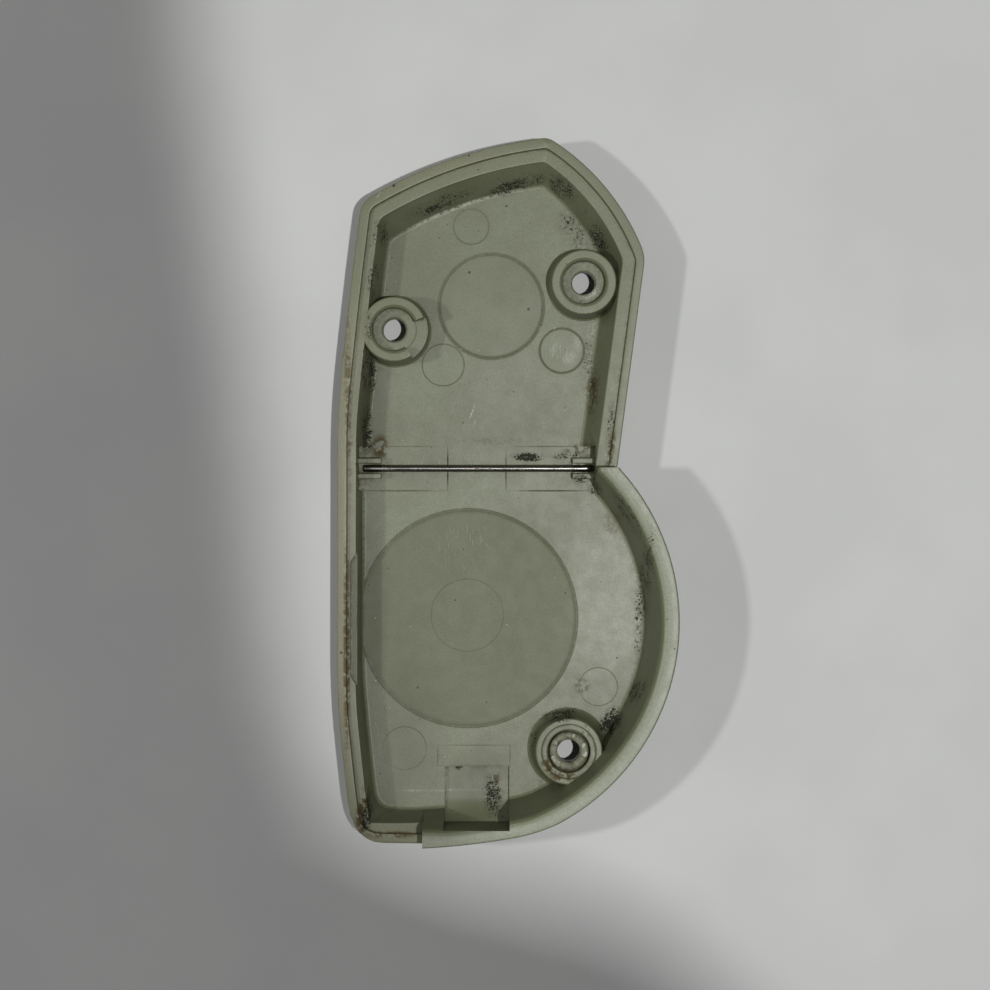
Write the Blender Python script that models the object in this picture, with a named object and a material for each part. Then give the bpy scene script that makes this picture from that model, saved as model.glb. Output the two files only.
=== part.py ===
"""Inner cover half of a garage door opener, with its loose pivot rod.

The cover is an injection-moulded ABS half that lies on its outer face, open side up.  Its rim is
stepped (an outer lip and a lower ledge) except round the wheel bay, where a plain wall stands
higher.  A thin steel rod lies across the middle in two moulded cradles and turns in them.  In the
lower boss sits the snapped-off end of the mating half's screw post.

All sizes are in millimetres until make_mesh turns them into metres.  +Z is up, out of the open
side; the frame's origin is at the middle of the bounding box, on the face that it lies on.
"""
import math

import bmesh
import bpy
from mathutils import Matrix, Vector

MM = 0.001

# Heights above the face that the cover lies on
FLOOR_Z = 3.0
LEDGE_Z = 11.0
LIP_RISE = 1.2            # the lip stands this much over the ledge
LIP_Z = LEDGE_Z + LIP_RISE
BAY_WALL_Z = 20.0
BOSS_STAND = 0.1          # a boss stands this much over the ledge
SHOULDER_HEIGHT = 8.0     # height of the rounded outer shoulder
CUT_CLEAR = 5.0           # how far a cutter runs past what it cuts
RIM_CLOSE = 14.0          # how far inside the outline the rim cutters close

# Outline seen from above: a round wheel bay below, a five-sided upper bay above
BAY_CENTRE = Vector((-10.8, -25.4))
BAY_RADIUS = 44.9
NECK_ANGLE = math.radians(42.8)       # where the round bay meets the right side
BAY_END_RISE = 0.4                    # the bottom edge's height over the bay circle's lowest point
BAY_END = Vector((-16.6, BAY_CENTRE.y - BAY_RADIUS + BAY_END_RISE))   # end of the high wall
BAY_FOOT_ANGLE = math.radians(-67.3)  # where the round bay flattens towards the bottom edge
LEFT_REACH = 33.85                    # widest point of the left side, left of the datum
LEFT_TOP_Y = 16.0                     # the left side is nearly straight between these two
LEFT_BOTTOM_Y = -40.0
UPPER_LENGTH = 66.0                   # from the neck up to the peak
PEAK_FROM_SHOULDER = 19.4
SHOULDER_FROM_NECK = 5.6
SHOULDER_DROP = 23.7                  # shoulder below the peak
CORNER_DROP = 12.9                    # top left corner below the peak
CORNER_SET_IN = 4.85
UPPER_LEFT_SET_IN = 0.1
FOOT_SET_IN = 3.25
FOOT_RISE = 0.2
LEFT_BOW = 0.2
BAY_FOOT_BOW = 0.5
SHOULDER_BOW = 2.6
TOP_BOW = 2.2

# Widths of the rim and the wall feet, inwards from the outline, for each side in turn:
# upper left, left, lower left, bottom, bay foot, round bay, right, shoulder, top
LIP_INSETS = (2.0, 1.9, 1.8, 1.9, 1.9, 1.9, 1.7, 2.0, 2.1)
LEDGE_INSETS = (4.0, 3.75, 3.7, 3.9, 4.2, 4.4, 4.4, 4.5, 4.7)
BAY_TOP_INSETS = (4.0, 3.75, 3.7, 3.9, 3.5, 3.75, 4.4, 4.5, 4.7)
FOOT_INSETS = (5.7, 4.6, 4.9, 5.7, 5.8, 6.0, 7.0, 7.4, 8.2)
SHOULDER_INSETS = (6.0, 5.0, 6.0, 9.5, 9.5, 9.5, 9.0, 10.0, 10.0)
FOOT_FILLET = 0.8
# Easing of the corners: top left, upper left, lower left, foot, bay end, bay foot, neck, shoulder, peak
CORNER_EASE = (2.5, 8.0, 8.0, 8.0, 1.0, 4.0, 0.5, 2.0, 1.3)
INNER_EASE = 0.5                      # inner corners are this much sharper
EDGE_STEPS = (6, 6, 4, 2, 5, 36, 4, 10, 12)
CORNER_STEPS = 4
SIDE_SAMPLES = 90                     # steps along a side before it is trimmed
SIDE_OVERRUN = 14.0                   # how far a side runs past its corners before it is trimmed
EASE_LIMIT = 0.45                     # largest share of a side that one eased corner takes
SHOULDER_STEPS = 6

# Screw bosses
BOSS_RADIUS = 6.5
BOSS_FOOT_RADIUS = 7.0
LOWER_BOSS_RADIUS = 6.7
LOWER_BOSS_FOOT_RADIUS = 7.7
LOWER_BOSS_FLARE = (1.0, 3.0)         # heights over the floor between which the foot narrows
BOSS_SEAT_Z = 8.0
BOSS_SEAT_RADIUS = 4.3
BOSS_MOUTH_CHAMFER = 0.5
LOWER_BOSS_STEP_WIDTH = 1.1
LOWER_BOSS_WALL = 4.3                 # wall outside the lower boss, which merges into the bay wall
BOSS_SINK = 0.5                       # how far a boss runs into the floor
LOWER_BOSS_STEP_DEPTH = 0.9
SCREW_HOLE_RADIUS = 2.3
HEAD_RECESS_RADIUS = 4.4
HEAD_RECESS_DEPTH = 4.5
UPPER_BOSS_FROM_SHOULDER = Vector((-12.2, -5.1))
LEFT_BOSS_FROM_SIDE = 11.35
LEFT_BOSS_BELOW_CORNER = 25.3
LOWER_BOSS_SET_IN = 9.8               # inside the round wall's outer face
LOWER_BOSS_ANGLE = math.radians(-48.4)
COLLAR_GAP = (math.radians(-57.0), math.radians(22.0))
COLLAR_GAP_STEPS = 8
BOSS_SIDES = 40

# Snapped post end in the lower boss
STUB_SIDE_GAP = 0.4
STUB_RADIUS = BOSS_SEAT_RADIUS - STUB_SIDE_GAP
STUB_GAP = 0.15
STUB_HEIGHT = 2.3
STUB_CHIP = 0.25

# Pivot rod and its two cradles
ROD_RADIUS = 0.7
ROD_CHAMFER = 0.15
ROD_SIDE_PLAY = 0.3
ROD_END_PLAY = 0.9
ROD_SEAT_GAP = 0.1
ROD_SIDES = 24
ROD_BELOW_NECK = 0.05
CRADLE_THICKNESS = 1.1
CRADLE_LENGTH = 4.5
CRADLE_SEAT_HEIGHT = 0.9
CRADLE_RISE = 0.7                     # ear tops over the rod's top
CRADLE_BITE = 0.6                     # how far a cradle runs into the side wall
SINK = 1.2                            # how far what stands on the floor runs into it
SEAT_CLEAR = 0.05                     # how far the collar gap is cut below the post seat

# Mould inserts round the cradles
INSERT_HALF_WIDTH = 4.5
INSERT_DEPTH = 0.1
LEFT_INSERT_WALL = 3.9                # wall left outside an insert, to the outline
RIGHT_INSERT_WALL = 4.2
LEFT_INSERT_LENGTH = 17.9
RIGHT_INSERT_LENGTH = 18.0

# Shallow round marks on the floor: x, y, radius; the wheel marks are cut one inside the other
MARK_DEPTH = 0.2
MARK_CLEAR = 0.2          # how far a mark's cutter stands over the floor
UPPER_DISC = (-3.0, 38.0, 10.8)
WHEEL_DISC = (-7.7, -25.3, 22.2)
WHEEL_HUB = (-7.9, -24.7, 7.4)
EJECTOR_MARKS = (
    (-7.1, 54.2, 3.7),
    (-12.8, 26.1, 4.3),
    (11.3, 29.0, 4.6),
    (18.7, -39.2, 3.9),
    (-20.6, -51.7, 4.4),
)
MARK_SIDES = 48

# Pocket at the bottom edge, and the relief in the left ledge
POCKET_LEFT = BAY_END.x + 4.1
POCKET_WIDTH = 13.1
POCKET_TOP_FROM_EDGE = 14.5
POCKET_WALL = 3.5                     # wall left between pocket and outline
POCKET_DEPTH = 1.3
POCKET_RAMP = ((7.0, 0.0), (3.0, 0.5), (1.2, 1.3), (0.0, 2.3))   # from the pocket's end, rise
RELIEF_TOP_Y = -13.3
RELIEF_LENGTH = 23.6
RELIEF_WALL = 2.6                     # wall left between relief and outline
RELIEF_REACH = 5.0                    # how far its cutter reaches inwards
RELIEF_DEPTH = 1.6                    # under the ledge


def arc(start, end, bow, inset, steps, overrun):
    """Points on one side of the outline, moved inwards and run past both ends."""
    chord = end - start
    along = chord.normalized()
    outward = Vector((along.y, -along.x))
    spare = overrun / chord.length
    shares = [-spare + (1 + 2 * spare) * step / steps for step in range(steps + 1)]
    if bow == 0:
        return [start + chord * share - outward * inset for share in shares]
    radius = (chord.length ** 2 / 4 + bow ** 2) / (2 * bow)
    centre = (start + end) / 2 + outward * (bow - radius)
    half = 2 * math.atan(2 * bow / chord.length)
    points = []
    for share in shares:
        angle = (2 * share - 1) * half
        points.append(centre + (outward * math.cos(angle) + along * math.sin(angle)) * (radius - inset))
    return points


def crossing(first, second, near):
    """Where two runs of points cross, nearest to a place, as positions along each run."""
    best = None
    for i in range(len(first) - 1):
        step_a = first[i + 1] - first[i]
        for j in range(len(second) - 1):
            step_b = second[j + 1] - second[j]
            gap = second[j] - first[i]
            turn = step_a.cross(step_b)
            if abs(turn) < 1e-12:
                continue
            share_a = gap.cross(step_b) / turn
            share_b = gap.cross(step_a) / turn
            if 0 <= share_a <= 1 and 0 <= share_b <= 1:
                distance = (first[i] + step_a * share_a - near).length
                if best is None or distance < best[0]:
                    best = (distance, i + share_a, j + share_b)
    if best is None:
        pairs = ((a - b).length for a in first for b in second)
        _, index = min((gap, index) for index, gap in enumerate(pairs))
        return divmod(index, len(second))
    return best[1], best[2]


def point_at(run, position):
    """The point at a fractional position along a run."""
    index = min(int(position), len(run) - 2)
    return run[index].lerp(run[index + 1], position - index)


def trimmed(run, start, end):
    """The stretch of a run between two fractional positions."""
    inner = [run[i] for i in range(int(start) + 1, int(math.ceil(end)))]
    return [point_at(run, start)] + inner + [point_at(run, end)]


def spaced(run, steps, cut_start, cut_end):
    """Evenly spaced points on a run, leaving a length free at each end."""
    lengths = [0.0]
    for first, second in zip(run, run[1:]):
        lengths.append(lengths[-1] + (second - first).length)
    room = lengths[-1] * EASE_LIMIT
    begin = min(cut_start, room)
    end = lengths[-1] - min(cut_end, room)
    points = []
    for step in range(steps + 1):
        wanted = begin + (end - begin) * step / steps
        index = next((i for i in range(1, len(run) - 1) if lengths[i] >= wanted), len(run) - 1)
        share = (wanted - lengths[index - 1]) / (lengths[index] - lengths[index - 1])
        points.append(run[index - 1].lerp(run[index], share))
    return points


def outline_corners():
    """Corners of the outline, anticlockwise from the top left one."""
    neck = BAY_CENTRE + Vector((math.cos(NECK_ANGLE), math.sin(NECK_ANGLE))) * BAY_RADIUS
    bay_foot = BAY_CENTRE + Vector((math.cos(BAY_FOOT_ANGLE), math.sin(BAY_FOOT_ANGLE))) * BAY_RADIUS
    peak_y = neck.y + UPPER_LENGTH
    shoulder = Vector((neck.x + SHOULDER_FROM_NECK, peak_y - SHOULDER_DROP))
    peak = Vector((shoulder.x - PEAK_FROM_SHOULDER, peak_y))
    top_left = Vector((-LEFT_REACH + CORNER_SET_IN, peak_y - CORNER_DROP))
    upper_left = Vector((-LEFT_REACH + UPPER_LEFT_SET_IN, LEFT_TOP_Y))
    lower_left = Vector((-LEFT_REACH, LEFT_BOTTOM_Y))
    foot = Vector((-LEFT_REACH + FOOT_SET_IN, BAY_END.y + FOOT_RISE))
    return [top_left, upper_left, lower_left, foot, BAY_END, bay_foot, neck, shoulder, peak]


CORNERS = outline_corners()
TOP_LEFT = CORNERS[0]
NECK, SHOULDER = CORNERS[6:8]
BAY_BOW = BAY_RADIUS * (1 - math.cos((NECK_ANGLE - BAY_FOOT_ANGLE) / 2))
BOWS = (LEFT_BOW, 0, LEFT_BOW, 0, BAY_FOOT_BOW, BAY_BOW, 0, SHOULDER_BOW, TOP_BOW)
NO_INSET = (0.0,) * len(CORNERS)


def contour(insets, ease=1.0):
    """The outline moved inwards by a width for each side, with its corners eased."""
    count = len(CORNERS)
    runs = []
    for side in range(count):
        start, end = CORNERS[side], CORNERS[(side + 1) % count]
        runs.append(arc(start, end, BOWS[side], insets[side],
                        SIDE_SAMPLES, SIDE_OVERRUN))
    cuts = [crossing(runs[side - 1], runs[side], CORNERS[side]) for side in range(count)]
    stretches = []
    for side in range(count):
        stretch = trimmed(runs[side], cuts[side][1], cuts[(side + 1) % count][0])
        ease_start = CORNER_EASE[side] * ease
        ease_end = CORNER_EASE[(side + 1) % count] * ease
        stretches.append((spaced(stretch, EDGE_STEPS[side], ease_start, ease_end), stretch[0]))
    points = []
    for side in range(count):
        before, (after, corner) = stretches[side - 1][0][-1], stretches[side]
        start = after[0]
        for step in range(1, CORNER_STEPS):
            share = step / CORNER_STEPS
            points.append(before.lerp(corner, share).lerp(corner.lerp(start, share), share))
        points.extend(after)
    return points


def ring(points, height):
    """Points of a contour at one height."""
    return [Vector((point.x, point.y, height)) for point in points]


def make_object(name, mesh_data, smooth=True):
    """An object whose mesh is a bmesh in millimetres, turned into metres."""
    bmesh.ops.scale(mesh_data, vec=(MM, MM, MM), verts=mesh_data.verts)
    bmesh.ops.recalc_face_normals(mesh_data, faces=mesh_data.faces)
    mesh = bpy.data.meshes.new(name)
    mesh_data.to_mesh(mesh)
    mesh_data.free()
    if smooth:
        mesh.shade_smooth()
        mesh.set_sharp_from_angle(angle=math.radians(30))
    piece = bpy.data.objects.new(name, mesh)
    bpy.context.scene.collection.objects.link(piece)
    return piece


def add_loft(mesh_data, rings):
    """A closed solid through rings that have the same number of points, lowest first."""
    rows = [[mesh_data.verts.new(point) for point in points] for points in rings]
    for lower, upper in zip(rows, rows[1:]):
        for i in range(len(lower)):
            j = (i + 1) % len(lower)
            mesh_data.faces.new((lower[i], lower[j], upper[j], upper[i]))
    mesh_data.faces.new(list(reversed(rows[0])))
    mesh_data.faces.new(rows[-1])


def within_bay(point, reach):
    """A point in plan, moved straight towards the wheel bay's centre if it is further away than reach."""
    away = point - BAY_CENTRE
    return BAY_CENTRE + away * min(1.0, reach / away.length)


def add_turned(mesh_data, profile, centre, sides, reach=math.inf):
    """A solid turned about a vertical line: profile is (radius, height) from bottom to top.

    Where it would be further from the wheel bay's centre than reach, it is flat.
    """
    turn = [2 * math.pi * side / sides for side in range(sides)]
    rings = []
    for radius, height in profile:
        plan = [Vector(centre[:2]) + Vector((math.cos(angle), math.sin(angle))) * radius for angle in turn]
        rings.append(ring([within_bay(point, reach) for point in plan], height))
    add_loft(mesh_data, rings)


def add_prism(mesh_data, polygon, bottom, top):
    """An upright prism over a polygon."""
    add_loft(mesh_data, [ring(polygon, bottom), ring(polygon, top)])


def add_bar(mesh_data, profile, start_x, end_x):
    """A bar along X whose section is a list of (y, z)."""
    add_loft(mesh_data, [[Vector((x, y, z)) for y, z in profile] for x in (start_x, end_x)])


def rectangle(left, right, bottom, top):
    """Corners of an upright rectangle, anticlockwise."""
    return [Vector((left, bottom)), Vector((right, bottom)), Vector((right, top)), Vector((left, top))]


def boolean(target, name, operation, fill):
    """Join a helper solid to an object or cut it out of it; fill builds the helper's mesh."""
    mesh_data = bmesh.new()
    fill(mesh_data)
    helper = make_object(name, mesh_data, smooth=False)
    helper.hide_render = True
    helper.display_type = "WIRE"
    modifier = target.modifiers.new(name, "BOOLEAN")
    modifier.operation = operation
    modifier.solver = "EXACT"
    modifier.object = helper


def boss_centres():
    """Centres of the upper right, left and lower bosses."""
    lower = BAY_RADIUS - LOWER_BOSS_SET_IN
    lower_place = Vector((math.cos(LOWER_BOSS_ANGLE), math.sin(LOWER_BOSS_ANGLE))) * lower
    left = Vector((-LEFT_REACH + LEFT_BOSS_FROM_SIDE, TOP_LEFT.y - LEFT_BOSS_BELOW_CORNER))
    return SHOULDER + UPPER_BOSS_FROM_SHOULDER, left, BAY_CENTRE + lower_place


UPPER_BOSS, LEFT_BOSS, LOWER_BOSS = boss_centres()
ROD_Y = NECK.y - ROD_BELOW_NECK
ROD_Z = FLOOR_Z + CRADLE_SEAT_HEIGHT + ROD_SEAT_GAP + ROD_RADIUS


def side_at(points, height):
    """Where a closed contour crosses a line of constant y, on its left side."""
    found = []
    for first, second in zip(points, points[1:] + points[:1]):
        if (first.y - height) * (second.y - height) < 0:
            found.append(first.lerp(second, (height - first.y) / (second.y - first.y)).x)
    return min(found)


OUTLINE = contour(NO_INSET)
LEFT_INSERT_X = side_at(OUTLINE, ROD_Y) + LEFT_INSERT_WALL
RIGHT_INSERT_X = NECK.x - RIGHT_INSERT_WALL
ROD_LEFT = LEFT_INSERT_X + ROD_END_PLAY
ROD_RIGHT = RIGHT_INSERT_X - ROD_END_PLAY


def fill_body(mesh_data):
    """Outer form: flat face, rounded shoulder, upright side up to the bay wall's height."""
    rings = []
    for step in range(SHOULDER_STEPS + 1):
        angle = math.pi / 2 * step / SHOULDER_STEPS
        insets = [inset * (1 - math.sin(angle)) for inset in SHOULDER_INSETS]
        rings.append(ring(contour(insets), SHOULDER_HEIGHT * (1 - math.cos(angle))))
    rings.append(ring(OUTLINE, BAY_WALL_Z))
    add_loft(mesh_data, rings)


def open_rim(points):
    """The stretch of a contour outside the bay wall, closed through the inside of the cover."""
    def outside(point):
        return point.y > NECK.y or point.x < BAY_END.x

    start = next(i for i in range(len(points)) if outside(points[i]) and not outside(points[i - 1]))
    turned = points[start:] + points[:start]
    stretch = [point for point in turned if outside(point)]
    before, after = points[start - 1], turned[len(stretch)]
    enter = before.lerp(stretch[0], (NECK.y - before.y) / (stretch[0].y - before.y))
    leave = stretch[-1].lerp(after, (BAY_END.x - stretch[-1].x) / (after.x - stretch[-1].x))
    inside = [Vector((BAY_END.x, BAY_END.y + RIM_CLOSE)), Vector((NECK.x - RIM_CLOSE, NECK.y))]
    return [enter] + stretch + [leave] + inside


def fill_rim_cut(mesh_data):
    """Takes the rim down to the lip's height everywhere but round the wheel bay."""
    far = 3 * UPPER_LENGTH
    polygon = [
        Vector((NECK.x - RIM_CLOSE, NECK.y)),
        Vector((far, NECK.y)),
        Vector((far, far)),
        Vector((-far, far)),
        Vector((-far, -far)),
        Vector((BAY_END.x, -far)),
        Vector((BAY_END.x, BAY_END.y + RIM_CLOSE)),
    ]
    add_prism(mesh_data, polygon, LIP_Z, BAY_WALL_Z + CUT_CLEAR)


def fill_ledge_cut(mesh_data):
    """Takes the inner part of the rim down to the ledge."""
    add_prism(mesh_data, open_rim(contour(LIP_INSETS, INNER_EASE)), LEDGE_Z, BAY_WALL_Z + CUT_CLEAR)


def fill_cavity(mesh_data):
    """The hollow: floor, a small fillet, sloping walls and the higher bay wall's inner face."""
    floor_insets = [inset + FOOT_FILLET for inset in FOOT_INSETS]
    over = CUT_CLEAR / (BAY_WALL_Z - LEDGE_Z)
    pairs = zip(LEDGE_INSETS, BAY_TOP_INSETS)
    clear_insets = [top - (ledge - top) * over for ledge, top in pairs]
    add_loft(mesh_data, [
        ring(contour(floor_insets, INNER_EASE), FLOOR_Z),
        ring(contour(FOOT_INSETS, INNER_EASE), FLOOR_Z + FOOT_FILLET / 2),
        ring(contour(LEDGE_INSETS, INNER_EASE), LEDGE_Z),
        ring(contour(BAY_TOP_INSETS, INNER_EASE), BAY_WALL_Z),
        ring(contour(clear_insets, INNER_EASE), BAY_WALL_Z + CUT_CLEAR),
    ])


def fill_bosses(mesh_data):
    """Three round bosses that stand on the floor."""
    foot = FLOOR_Z - BOSS_SINK
    top = LEDGE_Z + BOSS_STAND
    for centre in (UPPER_BOSS, LEFT_BOSS):
        add_turned(mesh_data, [(BOSS_FOOT_RADIUS, foot), (BOSS_RADIUS, top)], centre, BOSS_SIDES)
    low, high = LOWER_BOSS_FLARE
    add_turned(mesh_data, [(LOWER_BOSS_FOOT_RADIUS, foot), (LOWER_BOSS_FOOT_RADIUS, FLOOR_Z + low),
                           (LOWER_BOSS_RADIUS, FLOOR_Z + high), (LOWER_BOSS_RADIUS, top)],
               LOWER_BOSS, BOSS_SIDES, BAY_RADIUS - LOWER_BOSS_WALL)


def fill_boss_bores(mesh_data):
    """Head recess, screw hole and post seat of each boss, in one turned cutter each."""
    top = LEDGE_Z + BOSS_STAND
    recess = [(HEAD_RECESS_RADIUS, -CUT_CLEAR), (HEAD_RECESS_RADIUS, HEAD_RECESS_DEPTH),
              (SCREW_HOLE_RADIUS, HEAD_RECESS_DEPTH), (SCREW_HOLE_RADIUS, BOSS_SEAT_Z),
              (BOSS_SEAT_RADIUS, BOSS_SEAT_Z)]
    mouth = BOSS_SEAT_RADIUS + BOSS_MOUTH_CHAMFER
    plain = recess + [(BOSS_SEAT_RADIUS, top - BOSS_MOUTH_CHAMFER), (mouth, top), (mouth, top + CUT_CLEAR)]
    step = top - LOWER_BOSS_STEP_DEPTH
    wide = BOSS_SEAT_RADIUS + LOWER_BOSS_STEP_WIDTH
    stepped = recess + [(BOSS_SEAT_RADIUS, step), (wide, step), (wide, top + CUT_CLEAR)]
    add_turned(mesh_data, plain, UPPER_BOSS, BOSS_SIDES)
    add_turned(mesh_data, plain, LEFT_BOSS, BOSS_SIDES)
    add_turned(mesh_data, stepped, LOWER_BOSS, BOSS_SIDES)


def fill_collar_gap(mesh_data):
    """The side of the left boss's collar that is open down to its post seat."""
    start, end = COLLAR_GAP
    reach = BOSS_FOOT_RADIUS + SINK
    polygon = [LEFT_BOSS.copy()]
    for step in range(COLLAR_GAP_STEPS + 1):
        angle = start + (end - start) * step / COLLAR_GAP_STEPS
        polygon.append(LEFT_BOSS + Vector((math.cos(angle), math.sin(angle))) * reach)
    add_prism(mesh_data, polygon, BOSS_SEAT_Z - SEAT_CLEAR, LEDGE_Z + CUT_CLEAR)


def fill_inserts(mesh_data):
    """Square recesses left by the mould inserts that shaped the cradles; they square the walls."""
    low, high = ROD_Y - INSERT_HALF_WIDTH, ROD_Y + INSERT_HALF_WIDTH
    bottom, top = FLOOR_Z - INSERT_DEPTH, BAY_WALL_Z + CUT_CLEAR
    left_end = LEFT_INSERT_X + LEFT_INSERT_LENGTH
    right_end = RIGHT_INSERT_X - RIGHT_INSERT_LENGTH
    add_prism(mesh_data, rectangle(LEFT_INSERT_X, left_end, low, high), bottom, top)
    add_prism(mesh_data, rectangle(right_end, RIGHT_INSERT_X, low, high), bottom, top)


def fill_cradles(mesh_data):
    """Two U-shaped cradles, each a pair of ears with a low seat between them."""
    slot = ROD_RADIUS + ROD_SIDE_PLAY
    outer = slot + CRADLE_THICKNESS
    foot, seat = FLOOR_Z - SINK, FLOOR_Z + CRADLE_SEAT_HEIGHT
    top = ROD_Z + ROD_RADIUS + CRADLE_RISE
    section = [(ROD_Y - outer, foot), (ROD_Y + outer, foot), (ROD_Y + outer, top), (ROD_Y + slot, top),
               (ROD_Y + slot, seat), (ROD_Y - slot, seat), (ROD_Y - slot, top), (ROD_Y - outer, top)]
    add_bar(mesh_data, section, LEFT_INSERT_X - CRADLE_BITE, LEFT_INSERT_X + CRADLE_LENGTH)
    add_bar(mesh_data, section, RIGHT_INSERT_X - CRADLE_LENGTH, RIGHT_INSERT_X + CRADLE_BITE)


def fill_marks(mesh_data):
    """Shallow round marks: the two big discs and the ejector pins' marks."""
    for x, y, radius in (UPPER_DISC, WHEEL_DISC) + EJECTOR_MARKS:
        add_turned(mesh_data, [(radius, FLOOR_Z - MARK_DEPTH), (radius, FLOOR_Z + MARK_CLEAR)], (x, y),
                   MARK_SIDES)


def fill_hub_mark(mesh_data):
    """The smaller mark inside the wheel disc, a little deeper."""
    x, y, radius = WHEEL_HUB
    add_turned(mesh_data, [(radius, FLOOR_Z - 2 * MARK_DEPTH), (radius, FLOOR_Z + MARK_CLEAR)], (x, y),
               MARK_SIDES)


def fill_pocket(mesh_data):
    """The square pocket at the bottom edge; its floor rises with the outer shoulder."""
    end, start = BAY_END.y + POCKET_WALL, BAY_END.y + POCKET_TOP_FROM_EDGE
    floor = FLOOR_Z - POCKET_DEPTH
    section = [(start, floor)] + [(end + back, floor + rise) for back, rise in POCKET_RAMP]
    section += [(end, BAY_WALL_Z + CUT_CLEAR), (start, BAY_WALL_Z + CUT_CLEAR)]
    add_bar(mesh_data, section, POCKET_LEFT, POCKET_LEFT + POCKET_WIDTH)


def fill_relief(mesh_data):
    """The relief in the left ledge beside the wheel bay, with sloping ends."""
    outer = -LEFT_REACH + RELIEF_WALL
    inner = outer + RELIEF_REACH
    bottom = RELIEF_TOP_Y - RELIEF_LENGTH
    polygon = [Vector((outer, bottom)), Vector((inner, bottom - RELIEF_REACH)),
               Vector((inner, RELIEF_TOP_Y + RELIEF_REACH)), Vector((outer, RELIEF_TOP_Y))]
    add_prism(mesh_data, polygon, LEDGE_Z - RELIEF_DEPTH, LIP_Z + CUT_CLEAR)


def paint(piece, name, colour, roughness, metallic):
    """Give a piece its own plain material."""
    material = bpy.data.materials.new(name)
    material.use_nodes = True
    shader = material.node_tree.nodes["Principled BSDF"]
    shader.inputs["Base Color"].default_value = (*colour, 1.0)
    shader.inputs["Roughness"].default_value = roughness
    shader.inputs["Metallic"].default_value = metallic
    piece.data.materials.append(material)


def make_cover():
    """The moulded cover half."""
    mesh_data = bmesh.new()
    fill_body(mesh_data)
    cover = make_object("cover_half", mesh_data)
    boolean(cover, "rim_cut", "DIFFERENCE", fill_rim_cut)
    boolean(cover, "ledge_cut", "DIFFERENCE", fill_ledge_cut)
    boolean(cover, "cavity", "DIFFERENCE", fill_cavity)
    boolean(cover, "relief", "DIFFERENCE", fill_relief)
    boolean(cover, "inserts", "DIFFERENCE", fill_inserts)
    boolean(cover, "bosses", "UNION", fill_bosses)
    boolean(cover, "boss_bores", "DIFFERENCE", fill_boss_bores)
    boolean(cover, "collar_gap", "DIFFERENCE", fill_collar_gap)
    boolean(cover, "cradles", "UNION", fill_cradles)
    boolean(cover, "pocket", "DIFFERENCE", fill_pocket)
    boolean(cover, "round_marks", "DIFFERENCE", fill_marks)
    boolean(cover, "hub_mark", "DIFFERENCE", fill_hub_mark)
    paint(cover, "aged_abs", (0.21, 0.22, 0.16), 0.5, 0.0)
    return cover


def make_rod():
    """The steel pivot rod, with its origin at its middle, on its own axis."""
    half = (ROD_RIGHT - ROD_LEFT) / 2
    tip = ROD_RADIUS - ROD_CHAMFER
    profile = [(tip, -half), (ROD_RADIUS, -half + ROD_CHAMFER), (ROD_RADIUS, half - ROD_CHAMFER), (tip, half)]
    mesh_data = bmesh.new()
    add_turned(mesh_data, profile, (0, 0), ROD_SIDES)
    bmesh.ops.rotate(mesh_data, verts=mesh_data.verts, matrix=Matrix.Rotation(math.pi / 2, 3, "Y"))
    rod = make_object("pivot_rod", mesh_data)
    rod.location = Vector(((ROD_LEFT + ROD_RIGHT) / 2, ROD_Y, ROD_Z)) * MM
    paint(rod, "drawn_steel", (0.45, 0.44, 0.42), 0.3, 1.0)
    return rod


def make_stub():
    """The snapped-off end of the mating half's screw post, a short tube in the lower boss."""
    low, high = BOSS_SEAT_Z + STUB_GAP, BOSS_SEAT_Z + STUB_GAP + STUB_HEIGHT
    inner = SCREW_HOLE_RADIUS
    section = [(inner, low), (STUB_RADIUS, low), (STUB_RADIUS, high - STUB_CHIP),
               (STUB_RADIUS - STUB_CHIP, high), (inner, high)]
    mesh_data = bmesh.new()
    turn = [2 * math.pi * side / BOSS_SIDES for side in range(BOSS_SIDES)]
    rows = []
    for angle in turn:
        rows.append([mesh_data.verts.new((radius * math.cos(angle), radius * math.sin(angle), height))
                     for radius, height in section])
    for first, second in zip(rows, rows[1:] + rows[:1]):
        for i in range(len(section)):
            j = (i + 1) % len(section)
            mesh_data.faces.new((first[i], second[i], second[j], first[j]))
    stub = make_object("screw_post_stub", mesh_data)
    stub.location = Vector((LOWER_BOSS.x, LOWER_BOSS.y, 0)) * MM
    paint(stub, "broken_abs", (0.30, 0.30, 0.23), 0.6, 0.0)
    return stub


def main():
    """Clear the scene, model the pieces and centre them on the outline's box."""
    for leftover in list(bpy.data.objects):
        bpy.data.objects.remove(leftover)
    make_cover()
    make_rod()
    make_stub()
    xs = [point.x for point in OUTLINE]
    ys = [point.y for point in OUTLINE]
    middle = Vector((min(xs) + max(xs), min(ys) + max(ys), 0)) / 2 * MM
    for item in list(bpy.data.objects):
        item.location -= middle


main()
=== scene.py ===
"""Looks of a stripped garage door opener cover: aged ABS half, loose steel rod, snapped screw post.

Sizes are in millimetres in the maker's drawing frame; Outline.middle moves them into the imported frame.
"""
import logging
import math
import random
from dataclasses import dataclass, field
from enum import Enum
from functools import partial, reduce
from typing import Any, Dict, List, Optional, Sequence, Tuple

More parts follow.
